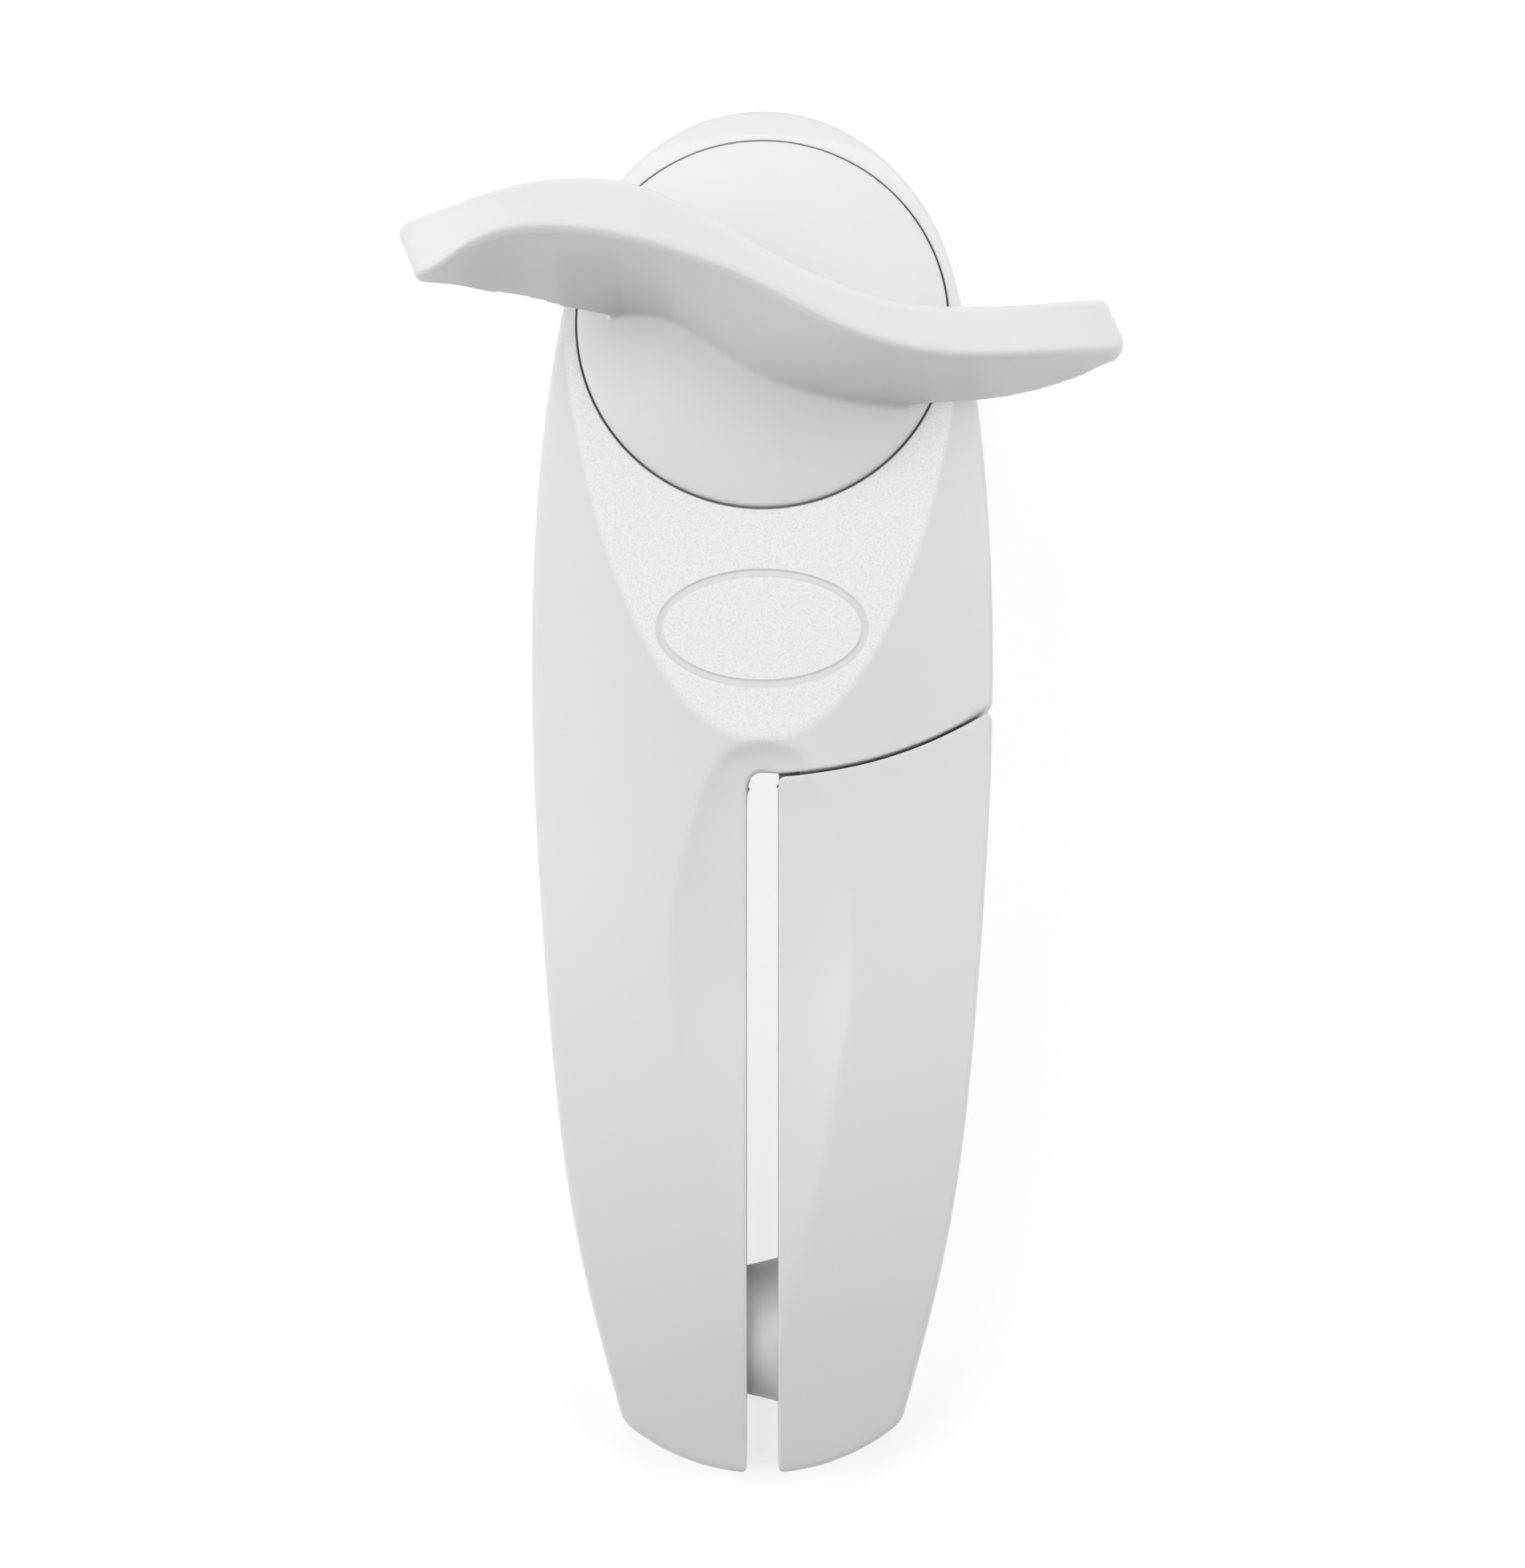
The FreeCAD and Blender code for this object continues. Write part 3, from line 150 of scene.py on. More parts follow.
def spline(points, steps=40):
    """A smooth curve through the points, with this many steps in each span."""
    points = np.array(points, float)
    gaps = np.linalg.norm(np.diff(points, axis=0), axis=1)
    count = len(points)
    system, right = np.eye(count), np.zeros_like(points)
    for k in range(1, count - 1):
        system[k, k - 1:k + 2] = gaps[k - 1], 2 * (gaps[k - 1] + gaps[k]), gaps[k]
        right[k] = 6 * ((points[k + 1] - points[k]) / gaps[k]
                        - (points[k] - points[k - 1]) / gaps[k - 1])
    bend = np.linalg.solve(system, right)
    share = np.linspace(0, 1, steps, endpoint=False)[:, None]
    runs = []
    for k in range(count - 1):
        a, b, h = 1 - share, share, gaps[k]
        runs.append(a * points[k] + b * points[k + 1]
                    + ((a ** 3 - a) * bend[k] + (b ** 3 - b) * bend[k + 1]) * h * h / 6)
    return np.vstack(runs + [points[-1:]])


def arc(centre, radius, first, last, spacing=0.3):
    """Points on a circle between two angles in radians."""
    steps = max(3, int(abs(last - first) * radius / spacing))
    angle = np.linspace(first, last, steps + 1)
    return np.c_[centre[0] + radius * np.cos(angle), centre[1] + radius * np.sin(angle)]


def along_run(run, distance):
    """The run's points beyond this distance from its start, beginning exactly there."""
    far = np.r_[0, np.cumsum(np.linalg.norm(np.diff(run, axis=0), axis=1))]
    point = [np.interp(distance, far, run[:, k]) for k in (0, 1)]
    return np.vstack([[point], run[far > distance + 1e-6]])


def closed_loop(runs, corners, radii, spacing):
    """One loop of evenly spaced points through the runs, its corners rounded, and the rounding
    radius of its rim at each point. The loop keeps the material on its left."""
    trimmed = []
    for k, run in enumerate(runs):
        run = along_run(run, corners[k])
        trimmed.append(along_run(run[::-1], corners[(k + 1) % len(runs)])[::-1])
    points, rims = [], []
    for k, run in enumerate(trimmed):
        following = trimmed[(k + 1) % len(runs)]
        points.append(run)
        rims += [radii[k]] * len(run)
        if corners[(k + 1) % len(runs)] > 0:
            share = np.linspace(0, 1, 10)[1:-1, None]
            tip = runs[k][-1]
            points.append((1 - share) ** 2 * run[-1] + 2 * share * (1 - share) * tip
                          + share ** 2 * following[0])
            rims += [min(radii[k], radii[(k + 1) % len(runs)])] * len(share)
    points, rims = np.vstack(points), np.array(rims)
    keep = np.r_[True, np.linalg.norm(np.diff(points, axis=0), axis=1) > 1e-6]
    points, rims = points[keep], rims[keep]
    whole = np.vstack([points, points[:1]])
    far = np.r_[0, np.cumsum(np.linalg.norm(np.diff(whole, axis=0), axis=1))]
    at = np.linspace(0, far[-1], int(far[-1] / spacing), endpoint=False)
    loop = np.c_[np.interp(at, far, whole[:, 0]), np.interp(at, far, whole[:, 1])]
    rim = np.interp(at, far, np.r_[rims, rims[:1]])
    if area(loop) < 0:
        loop, rim = loop[::-1], rim[::-1]
    return loop, np.convolve(np.r_[rim[-3:], rim, rim[:3]], np.ones(7) / 7, "valid")


def area(loop):
    """Area inside the loop, positive where it runs anticlockwise."""
    x, y = loop.T
    return 0.5 * float(np.sum(x * np.roll(y, -1) - np.roll(x, -1) * y))


def inward(loop):
    """Unit normals to the left of the loop's way round."""
    way = np.roll(loop, -1, 0) - np.roll(loop, 1, 0)
    way /= np.linalg.norm(way, axis=1)[:, None]
    return np.c_[-way[:, 1], way[:, 0]]


def circle(radius, count, centre=(0.0, 0.0), squash=1.0):
    """A ring of points, an oval where squash is not 1."""
    angle = np.linspace(0, 2 * math.pi, count, endpoint=False)
    return np.c_[centre[0] + radius * np.cos(angle), centre[1] + radius * squash * np.sin(angle)]


def distance_to(points, loop):
    """Distance from each point to the nearest point of the loop."""
    found = np.empty(len(points))
    for start in range(0, len(points), 2000):
        part = points[start:start + 2000]
        gap = part[:, None, :] - loop[None, :, :]
        found[start:start + 2000] = np.sqrt((gap ** 2).sum(2).min(1))
    return found


def inside(points, loop):
    """Which points lie inside a closed loop."""
    found = np.zeros(len(points), bool)
    x0, y0 = loop[:, 0], loop[:, 1]
    x1, y1 = np.roll(x0, -1), np.roll(y0, -1)
    for start in range(0, len(points), 2000):
        x, y = points[start:start + 2000, 0:1], points[start:start + 2000, 1:2]
        straddles = (y0 > y) != (y1 > y)
        with np.errstate(divide="ignore", invalid="ignore"):
            meets = x0 + (y - y0) * (x1 - x0) / (y1 - y0)
        found[start:start + 2000] = (straddles & (x < meets)).sum(1) % 2 == 1
    return found


# ---------------------------------------------------------------- surfaces of the body

crown_line = spline(CROWN_POINTS)


def crown_at(y):
    """Height of the crown along the middle."""
    return np.interp(y, crown_line[:, 0], crown_line[:, 1])


scoop_line = spline([(y, crown_at(y) - depth) for y, depth in SCOOP_POINTS])


def soft_min(a, b, reach):
    """The lower of two surfaces, blended where they are within reach of each other."""
    share = np.clip(0.5 + 0.5 * (b - a) / reach, 0, 1)
    return b * (1 - share) + a * share - reach * share * (1 - share)


def front_height(x, y):
    """Height of the body's front: flat panel, crowned sides and handles, and the scoop."""
    level = PANEL - CROWN_RADIUS
    crowned = level + np.sqrt((crown_at(y) - level) ** 2 - x ** 2)
    top = soft_min(crowned, PANEL, PANEL_BLEND)
    floor = np.interp(y, scoop_line[:, 0], scoop_line[:, 1])
    radius = np.interp(y, *SCOOP_RADII)
    scoop = floor + radius - np.sqrt(np.maximum(radius ** 2 - x ** 2, 0.01))
    scoop = np.where((y > scoop_line[0, 0]) & (y < scoop_line[-1, 0]), scoop, 100.0)
    return soft_min(top, scoop, SCOOP_BLEND)


def badge_groove(x, y):
    """Depth of the oval groove in the panel."""
    outer = np.hypot(x / BADGE_OUTER[0], (y - BADGE_ALONG) / BADGE_OUTER[1])
    inner = np.hypot(x / BADGE_INNER[0], (y - BADGE_ALONG) / BADGE_INNER[1])
    down = np.clip((1 - outer) / BADGE_EDGE + 0.5, 0, 1)
    up = np.clip((inner - 1) / BADGE_EDGE + 0.5, 0, 1)
    share = np.minimum(down, up)
    return BADGE_DEPTH * share * share * (3 - 2 * share)


def split_height(y):
    """Height of the split between the front and back mouldings."""
    return np.interp(y, (SPLIT_END, SPLIT_TURN), (SPLIT_LOW, SPLIT_HIGH))


# ---------------------------------------------------------------- mesh building

class Builder:
    """Collects vertices in mm and faces, and makes one mesh object in metres."""

    def __init__(self):
        self.points, self.faces = [], []

    def add(self, xy, z):
        """Adds points at these heights and returns their indices."""
        start = len(self.points)
        self.points += [(x, y, h) for (x, y), h in zip(xy, np.broadcast_to(z, len(xy)))]
        return np.arange(start, len(self.points))

    def strip(self, first, second, flip=False):
        """Quads between two closed rings of equally many vertices."""
        count = len(first)
        for k in range(count):
            n = (k + 1) % count
            face = (int(first[k]), int(first[n]), int(second[n]), int(second[k]))
            self.faces.append(face[::-1] if flip else face)

    def fill(self, rings, loose, height, flip=False):
        """Triangles inside the first ring and outside the others, through the loose points."""
        flat = [np.array([self.points[i][:2] for i in ring]) for ring in rings]
        xy = np.vstack(flat + [loose])
        edges, start = [], 0
        for ring in flat:
            count = len(ring)
            edges += [(start + k, start + (k + 1) % count) for k in range(count)]
            start += count
        out, _, faces, origin, _, _ = delaunay_2d_cdt(
            [Vector(p) for p in xy], edges, [], 0, 1e-7)
        known = np.concatenate([np.asarray(ring) for ring in rings])
        index = np.full(len(out), -1)
        for k, sources in enumerate(origin):
            low = min(sources) if sources else len(known)
            if low < len(known):
                index[k] = known[low]
        fresh = np.flatnonzero(index < 0)
        places = np.array([out[k][:] for k in range(len(out))])
        index[fresh] = self.add(places[fresh], height(places[fresh, 0], places[fresh, 1]))
        faces = np.array(faces)
        middles = places[faces].mean(1)
        kept = inside(middles, flat[0])
        for ring in flat[1:]:
            kept &= ~inside(middles, ring)
        for face in faces[kept]:
            a, b, c = places[face]
            up = (b[0] - a[0]) * (c[1] - a[1]) - (b[1] - a[1]) * (c[0] - a[0]) > 0
            corners = [int(index[i]) for i in face]
            self.faces.append(corners if up != flip else corners[::-1])

    def piece(self, name):
        """One mesh object of all that was collected."""
        mesh = bpy.data.meshes.new(name)
        mesh.from_pydata([tuple(MM * c for c in p) for p in self.points], [], self.faces)
        mesh.validate()
        used = bpy.data.objects.new(name, mesh)
        bpy.context.scene.collection.objects.link(used)
        return used


def smooth_shading(piece, angle=40.0):
    """Smooth shading, with edges sharper than this angle in degrees left crisp."""
    piece.data.shade_smooth()
    piece.data.set_sharp_from_angle(angle=math.radians(angle))


def grid_in(ring, holes, spacing, clear):
    """A triangular grid of points inside a ring, clear of it and of the holes."""
    low, high = ring.min(0), ring.max(0)
    rows = []
    for k, y in enumerate(np.arange(low[1], high[1], spacing * math.sqrt(0.75))):
        x = np.arange(low[0] + (k % 2) * spacing / 2, high[0], spacing)
        rows.append(np.c_[x, np.full(len(x), y)])
    points = np.vstack(rows)
    points = points[inside(points, ring)]
    points = points[distance_to(points, ring) > clear]
    for hole in holes:
        points = points[~inside(points, hole)]
        points = points[distance_to(points, hole) > clear]
    return points


ROUNDING = np.radians([0, 18, 36, 54, 72, 90])


def rounded_rim(builder, loop, radius, height, flip=False):
    """Rings from the top of a wall over its rounded rim. Returns the wall's ring and the last."""
    normal = inward(loop) * (-1 if flip else 1)
    rings = []
    for angle in ROUNDING:
        xy = loop + normal * (radius * (1 - math.cos(angle)))[:, None]
        drop = radius * (1 - math.sin(angle))
        rings.append(builder.add(xy, height(xy[:, 0], xy[:, 1]) - drop))
    for first, second in zip(rings, rings[1:]):
        builder.strip(first, second, flip)
    return rings[0], rings[-1]


def lug_way(y):
    """Top of the room left for the stop lug, or its axis height beyond that room."""
    return LUG_AXIS + np.sqrt(np.maximum(LUG_WAY_RADIUS ** 2 - (y - LUG_ALONG) ** 2, 0))


def slot_undercut(xy):
    """Moves the lower edges at the slot's closed end further in, out of sight."""
    near = np.clip((xy[:, 1] + SLOT_TOP + SLOT_HALF) / SLOT_HALF, 0, 1)
    near *= np.clip(UNDERCUT_HALF - np.abs(xy[:, 0]), 0, 1)
    near *= xy[:, 1] < UNDERCUT_START
    return xy + np.c_[np.zeros(len(xy)), UNDERCUT * near]


def recess(build, top):
    """Adds the knob's round recess. Returns its rim's last ring and its bore's upper ring."""
    edge = circle(RECESS_RADIUS, RECESS_POINTS)
    radii = np.full(RECESS_POINTS, RECESS_RIM)
    wall_top, rim = rounded_rim(build, edge, radii, top, flip=True)
    rings = [build.add(edge, RECESS_FLOOR)]
    for radius in RECESS_STEPS:
        rings.append(build.add(circle(radius, RECESS_POINTS), RECESS_FLOOR))
    build.strip(rings[0], wall_top, flip=True)
    for first, second in zip(rings, rings[1:]):
        build.strip(first, second)
    return rim, rings[-1]


def with_badge(loose):
    """The loose points with rings along the badge's groove in place of those that lie near it."""
    rings = []
    for step in BADGE_STEPS:
        across, along = BADGE_OUTER[0] + step, BADGE_OUTER[1] + step
        rings.append(circle(across, BADGE_POINTS, (0, BADGE_ALONG), along / across))
    outer, inner = rings[0], rings[-1]
    loose = loose[~(inside(loose, outer) & ~inside(loose, inner))]
    clear = (distance_to(loose, outer) > BADGE_CLEAR) & (distance_to(loose, inner) > BADGE_CLEAR)
    return np.vstack([loose[clear]] + rings)


def moulding(name, loop, radius, foot, is_head):
    """A front moulding: a shell with a rounded rim, open below. The head's has the knob's recess,
    the badge and room for the stop lug."""
    build = Builder()

    def top(x, y):
        return front_height(x, y) - (badge_groove(x, y) if is_head else 0)

    def ceiling(x, y):
        under = front_height(x, y) - WALL
        if is_head:
            under = np.where(np.hypot(x, y) < RECESS_RADIUS + WALL, RECESS_FLOOR - WALL, under)
            way = np.where(x > LUG_WAY_REACH, lug_way(y), 0.0)
            under = np.maximum(under, np.minimum(way, front_height(x, y) - LUG_WAY_SKIN))
        return under

    def flat(ring):
        return np.array([build.points[i][:2] for i in ring])

    def leaned(xy):
        return slot_undercut(xy) if is_head else xy

    wall_top, rim = rounded_rim(build, loop, radius, top)
    if is_head:
        recess_rim, bore = recess(build, top)
        loose = grid_in(flat(rim), [flat(recess_rim)], FRONT_GRID, FRONT_CLEAR)
        build.fill([rim, recess_rim], with_badge(loose), top)
    else:
        build.fill([rim], grid_in(flat(rim), [], FRONT_GRID, FRONT_CLEAR), top)

    x, y = loop.T
    low = np.minimum(foot(x, y), top(x, y) - LEAST_WALL)
    wall_foot = build.add(leaned(loop), low + FOOT_LIP)
    build.strip(wall_foot, wall_top)
    lip_ring = build.add(leaned(loop + inward(loop) * FOOT_LIP), low)
    build.strip(lip_ring, wall_foot)
    inner = loop + inward(loop) * WALL
    inner = leaned(inner[distance_to(inner, loop) > WALL - WALL_SLACK])
    x, y = inner.T
    over = ceiling(x, y)
    inner_foot = build.add(inner, np.minimum(foot(x, y), over - FOOT_GAP))
    build.fill([lip_ring, inner_foot], np.empty((0, 2)), foot, flip=True)
    inner_top = build.add(inner, over)
    build.strip(inner_top, inner_foot)
    rings, holes = [inner_top], []
    if is_head:
        hole = circle(BUSH_RADIUS, RECESS_POINTS)
        under = build.add(hole, RECESS_FLOOR - WALL)
        build.strip(bore, under)
        rings.append(under)
        holes.append(hole)
    build.fill(rings, grid_in(inner, holes, CEILING_GRID, CEILING_CLEAR), ceiling, flip=True)
    return build.piece(name)


# ---------------------------------------------------------------- the two front mouldings

right_side = [np.array(p) for p in SIDE_POINTS]
left_side = [p * (-1, 1) for p in reversed(right_side)]
outline = spline(left_side + [np.array((0.0, HEAD_REACH))] + right_side)


def from_parting(x, y):
    """Distance in plan from the parting circle's centre."""
    return np.hypot(x - PARTING_CENTRE[0], y - PARTING_CENTRE[1])


def on_parting(radius, x):
    """The point on the parting circle's lower half at this x."""
    return np.array((x, PARTING_CENTRE[1] - math.sqrt(radius ** 2 - x ** 2)))


def meets_parting(radius):
    """Where the outline's right side meets the parting circle, as an index."""
    x, y = outline.T
    return int(np.argmax((from_parting(x, y) > radius) & (x > 0) & (y < 0)))


def parting_runs(radius, outer, inner):
    """The parting arc from the outside inwards, as a soft-rimmed run and a crisp one."""
    first, last = (math.atan2(*(point - PARTING_CENTRE)[::-1]) for point in (outer, inner))
    middle = first + PARTING_SOFT * (last - first)
    return [arc(PARTING_CENTRE, radius, first, middle), arc(PARTING_CENTRE, radius, middle, last)]


def end_arc(first, last):
    """The handles' common end arc between two angles from straight down."""
    return arc((0.0, end_radius - HANDLE_REACH), end_radius, first - math.pi / 2,
               last - math.pi / 2)


corner = np.array(SIDE_POINTS[-1])
sag = HANDLE_REACH + corner[1]
end_radius = (corner[0] ** 2 + sag ** 2) / (2 * sag)
end_spread = math.asin(corner[0] / end_radius)
slot_spread = math.asin(SLOT_HALF / end_radius)

cut = meets_parting(PARTING_RADIUS)
inner_end = on_parting(PARTING_RADIUS, 0.9 * SLOT_HALF)
slot_centre = (0.0, -SLOT_TOP - SLOT_HALF)
left_end = end_arc(-slot_spread, -end_spread)
housing_loop, housing_rims = closed_loop(
    [outline[:cut + 1],
     *parting_runs(PARTING_RADIUS, outline[cut], inner_end),
     np.vstack([inner_end, (0.0, -SLOT_TOP)]),
     arc(slot_centre, SLOT_HALF, math.pi / 2, math.pi),
     np.linspace((-SLOT_HALF, slot_centre[1]), left_end[0], 200),
     left_end],
    [OUTER_CORNER, PARTING_CORNER, 0, SLOT_CORNER, 0, 0, SLOT_CORNER],
    [OUTER_RIM, SOFT_RIM, PARTING_RIM, SLOT_END_RIM, SLOT_END_RIM, SLOT_RIM, OUTER_RIM],
    EDGE_SPACING)

lever_radius = PARTING_RADIUS + PARTING_GAP
cut = meets_parting(lever_radius)
inner_end = on_parting(lever_radius, SLOT_HALF)
right_end = end_arc(end_spread, slot_spread)
lever_loop, lever_rims = closed_loop(
    [outline[cut:], right_end,
     np.linspace(right_end[-1], inner_end, 200),
     *(run[::-1] for run in reversed(parting_runs(lever_radius, outline[cut], inner_end)))],
    [SLOT_CORNER, OUTER_CORNER, SLOT_CORNER, PARTING_CORNER, 0],
    [OUTER_RIM, OUTER_RIM, SLOT_RIM, PARTING_RIM, SOFT_RIM],
    EDGE_SPACING)


def housing_foot(x, y):
    """Height of the front housing's lower edge, with the ways for the arm and the lug."""
    low = split_height(y)
    arm = (x > ARM_WAY_START) & (y > ARM_WAY_ENDS[0]) & (y < ARM_WAY_ENDS[1])
    low = np.where(arm, ARM_WAY_TOP, low)
    lug = (x > LUG_OPENING_REACH) & (lug_way(y) > LUG_AXIS) & (y < LUG_OPENING_START)
    return np.where(lug, np.maximum(low, lug_way(y)), low)


def lever_foot(x, y):
    """Height of the lever moulding's lower edge, with the way for its own arm."""
    left, right = LEVER_ARM_SIDES
    arm = (from_parting(x, y) < lever_radius + LEVER_ARM_DEPTH) & (x > left) & (x < right)
    return np.where(arm, LEVER_ARM_TOP, split_height(y))


front = moulding("front_moulding", housing_loop, housing_rims, housing_foot, True)
lever_front = moulding("lever_moulding", lever_loop, lever_rims, lever_foot, False)
for piece, body, node in ((front, "body", "front_housing"),
                          (lever_front, "lever", "lever_front_shell")):
    smooth_shading(piece)
    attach(piece, body)
    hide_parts(node)


# ---------------------------------------------------------------- knob

def dome_height(radius):
    """Height of the disc's domed top at this distance from the knob's axis."""
    rise = KNOB_CROWN - KNOB_RIM
    sphere = (KNOB_RADIUS ** 2 + rise ** 2) / (2 * rise)
    return KNOB_CROWN - sphere + np.sqrt(np.maximum(sphere ** 2 - radius ** 2, 0))


def knob_disc():
    """The disc turned from its profile: flat underside, rounded rim and dome."""
    build = Builder()
    low_edge, high_edge = KNOB_LOW_EDGE, KNOB_HIGH_EDGE
    profile = [(r, KNOB_LOW) for r in np.linspace(KNOB_BORE, KNOB_RADIUS - low_edge, 12)]
    for angle in np.radians(np.linspace(15, 90, 6)):
        profile.append((KNOB_RADIUS - low_edge * (1 - math.sin(angle)),
                        KNOB_LOW + low_edge * (1 - math.cos(angle))))
    for angle in np.radians(np.linspace(0, 90, 8)):
        r = KNOB_RADIUS - high_edge * (1 - math.cos(angle))
        profile.append((r, float(dome_height(r)) - high_edge * (1 - math.sin(angle))))
    profile += [(r, float(dome_height(r))) for r in np.linspace(KNOB_RADIUS - 1.4, 0.6, 40)]
    rings = [build.add(circle(r, KNOB_POINTS), z) for r, z in profile]
    for a, b in zip(rings, rings[1:]):
        build.strip(a, b)
    build.faces.append([int(i) for i in rings[-1]])
    build.faces.append([int(i) for i in rings[0]][::-1])
    return build


def knob_wing():
    """The wing as upright sections from tip to tip, rounded at both tips."""
    near_top, far_top, near_low = (spline(t) for t in (WING_NEAR_TOP, WING_FAR_TOP, WING_NEAR_LOW))
    far_low = -near_low[::-1]
    arch = spline([(-x, z) for x, z in reversed(WING_ARCH)] + list(WING_ARCH[1:]))
    under = spline(WING_UNDER)

    def across(curve, x):
        return float(np.interp(x, curve[:, 0], curve[:, 1]))

    def low_at(x):
        return float(np.interp(abs(x), [0, WING_FOOT_REACH, *under[:, 0]],
                               [WING_FOOT, WING_FOOT, *under[:, 1]]))

    def side(x, top, low, sign, inset):
        """One side of a section, from its lower edge round its rim to its top."""
        bottom = low_at(x) + TIP_LOWERING * inset
        high = across(arch, x) - TIP_LOWERING * inset
        top_y, spread = across(top, x), WING_DRAFT * (high - bottom)
        low_y = min(max(across(low, x), top_y - spread), top_y + spread) + sign * inset
        top_y += sign * inset
        rim = min(WING_RIM, 0.4 * (high - bottom))
        points = []
        for z in np.linspace(bottom, high - rim, WING_LEVELS):
            y = low_y + (top_y - low_y) * (z - bottom) / (high - bottom)
            above = z - float(dome_height(math.hypot(x, y)))
            if math.hypot(x, y) < WING_FILLET_RADIUS:
                y -= sign * WING_FILLET * max(0.0, 1 - max(above, 0) / WING_FILLET_HEIGHT) ** 2
            points.append((x, y, z))
        for angle in ROUNDING[1:]:
            points.append((x, top_y + sign * rim * (1 - math.cos(angle)),
                           high - rim * (1 - math.sin(angle))))
        return points

    build = Builder()
    near_length, far_length = (curve[-1, 0] - curve[0, 0] for curve in (near_top, far_top))
    tip = (1 - np.cos(np.linspace(0, math.pi / 2, TIP_STATIONS))) / 2 * WING_TIP / near_length
    stations = np.r_[tip, np.linspace(tip[-1], 1 - tip[-1], WING_STATIONS)[1:-1], 1 - tip[::-1]]
    rings = []
    for share in stations:
        near_x = near_top[0, 0] + share * near_length
        far_x = far_top[0, 0] + share * far_length
        depth = min(share, 1 - share) * near_length
        inset = 0.0
        if depth < WING_TIP:
            arc_depth = math.sqrt(WING_TIP ** 2 - (WING_TIP - depth) ** 2)
            inset = TIP_NARROWING * (WING_TIP - arc_depth)
        points = side(near_x, near_top, near_low, 1, inset)
        points += side(far_x, far_top, far_low, -1, inset)[::-1]
        start = len(build.points)
        build.points += points
        rings.append(np.arange(start, start + len(points)))
    for a, b in zip(rings, rings[1:]):
        build.strip(a, b, flip=True)
    build.faces.append([int(i) for i in rings[0]])
    build.faces.append([int(i) for i in rings[-1]][::-1])
    return build


def merged(name, parts, voxel, rounds):
    """Overlapping closed parts as one skin with softened inner corners."""
    whole = Builder()
    for part in parts:
        start = len(whole.points)
        whole.points += part.points
        whole.faces += [[start + i for i in face] for face in part.faces]
    rough = whole.piece(name + "_rough")
    remesh = rough.modifiers.new("join", "REMESH")
    remesh.mode = "VOXEL"
    remesh.voxel_size = voxel
    soften = rough.modifiers.new("soften", "SMOOTH")
    soften.factor = 0.5
    soften.iterations = rounds
    graph = bpy.context.evaluated_depsgraph_get()
    mesh = bpy.data.meshes.new_from_object(rough.evaluated_get(graph))
    mesh.name = name
    bpy.data.objects.remove(rough)
    piece = bpy.data.objects.new(name, mesh)
    bpy.context.scene.collection.objects.link(piece)
    return piece


knob = merged("turning_knob", [knob_disc(), knob_wing()], KNOB_VOXEL * MM, KNOB_SOFTENING)
knob.data.shade_smooth()
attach(knob, "knob_assembly")
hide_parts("knob")


# ---------------------------------------------------------------- materials

MIX_FIRST, MIX_LAST, MIX_RESULT = 6, 7, 2      # places of a Mix node's colour sockets


class Nodes:
    """A material's node tree, with short ways to add and join nodes."""

    def __init__(self, name):
        self.material = bpy.data.materials.new(name)
        self.material.use_nodes = True
        self.tree = self.material.node_tree
        self.shader = self.tree.nodes["Principled BSDF"]
        self.place = self.add("ShaderNodeTexCoord").outputs["Object"]

    def add(self, kind, **values):
        node = self.tree.nodes.new(kind)
        for key, value in values.items():
            setattr(node, key, value)
        return node

    def link(self, source, target):
        self.tree.links.new(source, target)

    def noise(self, scale, detail=2.0, rough=0.5, stretch=None):
        """Noise over the object's own coordinates, in repeats per metre."""
        node = self.add("ShaderNodeTexNoise")
        node.inputs["Scale"].default_value = scale
        node.inputs["Detail"].default_value = detail
        node.inputs["Roughness"].default_value = rough
        place = self.place
        if stretch:
            mapping = self.add("ShaderNodeMapping")
            mapping.inputs["Scale"].default_value = stretch
            self.link(place, mapping.inputs["Vector"])
            place = mapping.outputs["Vector"]
        self.link(place, node.inputs["Vector"])
        return node.outputs["Fac"]

    def ramp(self, value, low, high, first, last):
        """The value mapped from low and high to first and last."""
        node = self.add("ShaderNodeMapRange")
        node.inputs["From Min"].default_value = low
        node.inputs["From Max"].default_value = high
        node.inputs["To Min"].default_value = first
        node.inputs["To Max"].default_value = last
        self.link(value, node.inputs["Value"])
        return node.outputs["Result"]

    def math(self, kind, a, b):
        node = self.add("ShaderNodeMath", operation=kind)
        for socket, value in zip(node.inputs, (a, b)):
            if isinstance(value, (int, float)):
                socket.default_value = value
            else:
                self.link(value, socket)
        return node.outputs[0]

    def colour(self, share, first, last):
        """Base colour mixed from two by the share."""
        node = self.add("ShaderNodeMix", data_type="RGBA")
        node.inputs[MIX_FIRST].default_value = (*first, 1)
        node.inputs[MIX_LAST].default_value = (*last, 1)
        self.link(share, node.inputs["Factor"])
        self.link(node.outputs[MIX_RESULT], self.shader.inputs["Base Color"])

    def bump(self, height, distance, strength=1.0):
        node = self.add("ShaderNodeBump")
        node.inputs["Distance"].default_value = distance
        node.inputs["Strength"].default_value = strength
        self.link(height, node.inputs["Height"])
        self.link(node.outputs["Normal"], self.shader.inputs["Normal"])


GRAIN_AND_PAINTED_LIGHT_LEVELS = (PANEL - 0.12, PANEL - 0.01)    # heights between which the panel's grain and painted light set in
GRAIN_AND_PAINTED_LIGHT_ENDS = (-8.0, 2.0)                       # and places along Y between which the grain and the stronger painted light fade out
SPARK_CONTRAST = 4.2


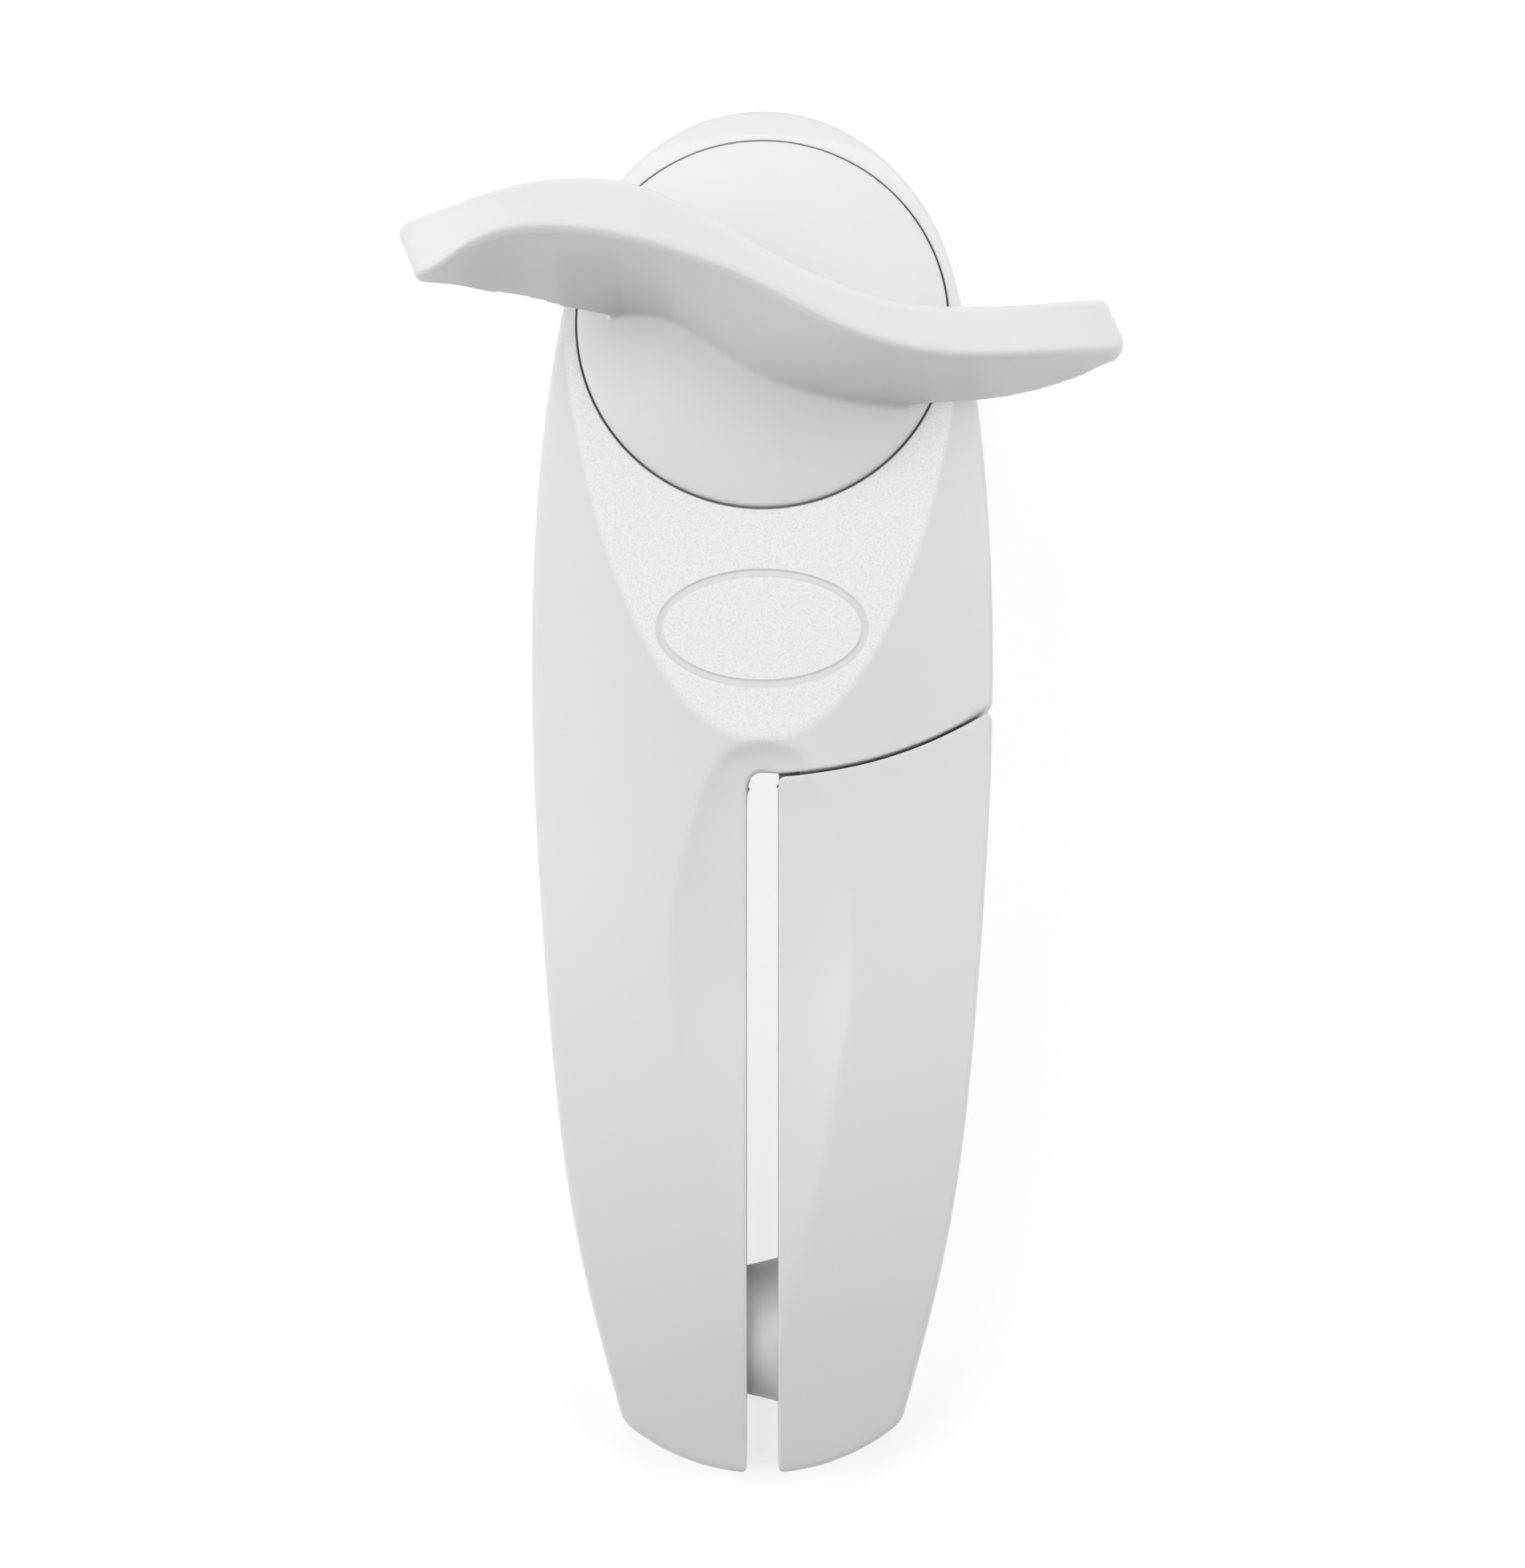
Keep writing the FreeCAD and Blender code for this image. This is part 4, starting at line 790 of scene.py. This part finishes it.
def moulded(name, first, last, rough, grain_and_painted_light):
    """Satin moulded plastic, toned between two colours. The flat panel is painted lighter to stand in
    for the way it catches the lamps, and lighter still, with a fine spark of real grain, where it runs
    from the knob to the handles."""
    m = Nodes(name)
    tone = m.noise(60.0, 3.0)
    height = m.math("MULTIPLY", m.noise(2600.0, 2.0, 0.6), 0.25)
    share = tone
    if grain_and_painted_light:
        split = m.add("ShaderNodeSeparateXYZ")
        m.link(m.place, split.inputs[0])
        panel = m.ramp(split.outputs["Z"], GRAIN_AND_PAINTED_LIGHT_LEVELS[0] * MM, GRAIN_AND_PAINTED_LIGHT_LEVELS[1] * MM, 0.0, 1.0)
        grain_and_painted_light_mask = m.ramp(split.outputs["Y"], GRAIN_AND_PAINTED_LIGHT_ENDS[0] * MM, GRAIN_AND_PAINTED_LIGHT_ENDS[1] * MM, 1.0, 0.0)
        spark = m.noise(3400.0, 3.0, 0.7)
        height = m.math("ADD", height,
                        m.math("MULTIPLY", spark, m.math("MULTIPLY", panel, grain_and_painted_light_mask)))
        speck = m.math("MULTIPLY", m.math("SUBTRACT", spark, 0.5),
                       m.math("MULTIPLY", grain_and_painted_light_mask, SPARK_CONTRAST))
        # Painted light: the flat panel's colour is lifted for the way it catches the lamps, most from
        # the knob to the handles; the speck is the panel's grain.
        speck_and_painted_light = m.math("ADD", speck, m.math("ADD", m.math("MULTIPLY", grain_and_painted_light_mask, 0.60), 0.24))
        share = m.math("ADD", m.math("MULTIPLY", tone, 0.12), m.math("MULTIPLY", speck_and_painted_light, panel))
    m.colour(share, first, last)
    m.link(m.ramp(m.noise(900.0, 2.0), 0.3, 0.7, rough - 0.03, rough + 0.05),
           m.shader.inputs["Roughness"])
    m.bump(height, 0.000012)
    m.shader.inputs["IOR"].default_value = 1.49
    return m.material


def metal(name, first, last, rough, stretch, scale):
    """Worked metal with fine lines along its finish."""
    m = Nodes(name)
    lines = m.noise(scale, 4.0, 0.7, stretch)
    m.colour(lines, first, last)
    m.shader.inputs["Metallic"].default_value = 1.0
    m.link(m.ramp(lines, 0.3, 0.7, rough - 0.08, rough + 0.1), m.shader.inputs["Roughness"])
    m.bump(lines, 0.00002, 0.6)
    return m.material


white = moulded("white_moulding", (0.72, 0.72, 0.72), (0.87, 0.87, 0.87), 0.42, True)
knob_white = moulded("knob_moulding", (0.72, 0.72, 0.72), (0.77, 0.77, 0.77), 0.38, False)
lug_white = moulded("lug_moulding", (0.69, 0.69, 0.69), (0.74, 0.74, 0.74), 0.45, False)
nylon = moulded("bush_nylon", (0.020, 0.020, 0.022), (0.035, 0.035, 0.037), 0.5, False)
sheet = metal("brushed_sheet", (0.44, 0.44, 0.45), (0.60, 0.60, 0.61), 0.34, (1, 0.04, 1), 1800)
turned = metal("turned_bar", (0.42, 0.42, 0.43), (0.55, 0.55, 0.56), 0.28, (0.1, 0.1, 1), 2400)
hard = metal("hardened_steel", (0.34, 0.34, 0.35), (0.48, 0.48, 0.49), 0.36, (1, 1, 0.2), 1500)
blade = metal("ground_blade", (0.52, 0.53, 0.54), (0.68, 0.69, 0.70), 0.22, (1, 1, 0.1), 2600)
spring = metal("spring_steel", (0.40, 0.40, 0.41), (0.54, 0.54, 0.55), 0.32, (1, 1, 1), 1600)
zinc = metal("zinc_plate", (0.50, 0.51, 0.52), (0.66, 0.67, 0.67), 0.30, (1, 1, 1), 900)
bronze = metal("sintered_bronze", (0.34, 0.21, 0.09), (0.46, 0.30, 0.14), 0.45, (1, 1, 1), 2500)

for owner, material in (("front_moulding", white), ("lever_moulding", white),
                        ("turning_knob", knob_white)):
    bpy.data.objects[owner].data.materials.append(material)

FINISHES = {
    "body_moulding": white, "knob_moulding": knob_white, "lug_moulding": lug_white,
    "plate_steel": sheet, "shaft_steel": turned, "wheel_steel": hard, "blade_steel": blade,
    "bush_nylon": nylon, "bush_bronze": bronze, "washer_steel": spring, "screw_steel": zinc,
}
for row in frame["record"]["subparts"]:
    node = frame["nodes"][row["node"]]
    finish = FINISHES[row["material_slot"]]
    node.data.materials.clear()
    node.data.materials.append(finish)
    node.material_slots[0].link = "OBJECT"
    node.material_slots[0].material = finish
    smooth_shading(node, 30.0)

# ---------------------------------------------------------------- floor, light and camera

half = FLOOR_HALF
floor_mesh = bpy.data.meshes.new("floor")
floor_mesh.from_pydata([(-half, -half, 0), (half, -half, 0), (half, half, 0), (-half, half, 0)],
                       [], [(0, 1, 2, 3)])
floor = bpy.data.objects.new("floor", floor_mesh)
floor.location.z = FLOOR_LEVEL
bpy.context.scene.collection.objects.link(floor)
paper = Nodes("pale_floor")
paper.colour(paper.noise(3.0), (0.36, 0.36, 0.36), (0.40, 0.40, 0.40))
paper.shader.inputs["Roughness"].default_value = 0.9
paper.shader.inputs["Specular IOR Level"].default_value = 0.1
paper.shader.inputs["Emission Color"].default_value = (1, 1, 1, 1)
paper.shader.inputs["Emission Strength"].default_value = FLOOR_GLOW
floor_mesh.materials.append(paper.material)

world = bpy.data.worlds.new("studio")
world.use_nodes = True
background = world.node_tree.nodes["Background"]
background.inputs["Color"].default_value = (1, 1, 1, 1)
background.inputs["Strength"].default_value = WORLD_GLOW
bpy.context.scene.world = world


def aimed(name, data, place, target):
    """An object that looks from its place at the target."""
    used = bpy.data.objects.new(name, data)
    used.location = place
    way = Vector(target) - Vector(place)
    used.rotation_euler = way.to_track_quat("-Z", "Y").to_euler()
    bpy.context.scene.collection.objects.link(used)
    return used


for name, place, size, power in LAMPS:
    lamp = bpy.data.lights.new(name, "AREA")
    lamp.shape = "RECTANGLE"
    lamp.size, lamp.size_y = size
    lamp.energy = power
    aimed(name, lamp, place, LAMP_TARGET)

camera_data = bpy.data.cameras.new("camera")
camera_data.sensor_width = CAMERA_SENSOR
camera_data.lens = CAMERA_LENS
bpy.context.scene.camera = aimed("camera", camera_data, CAMERA_PLACE, CAMERA_AIM)
bpy.context.scene.view_settings.view_transform = "Standard"
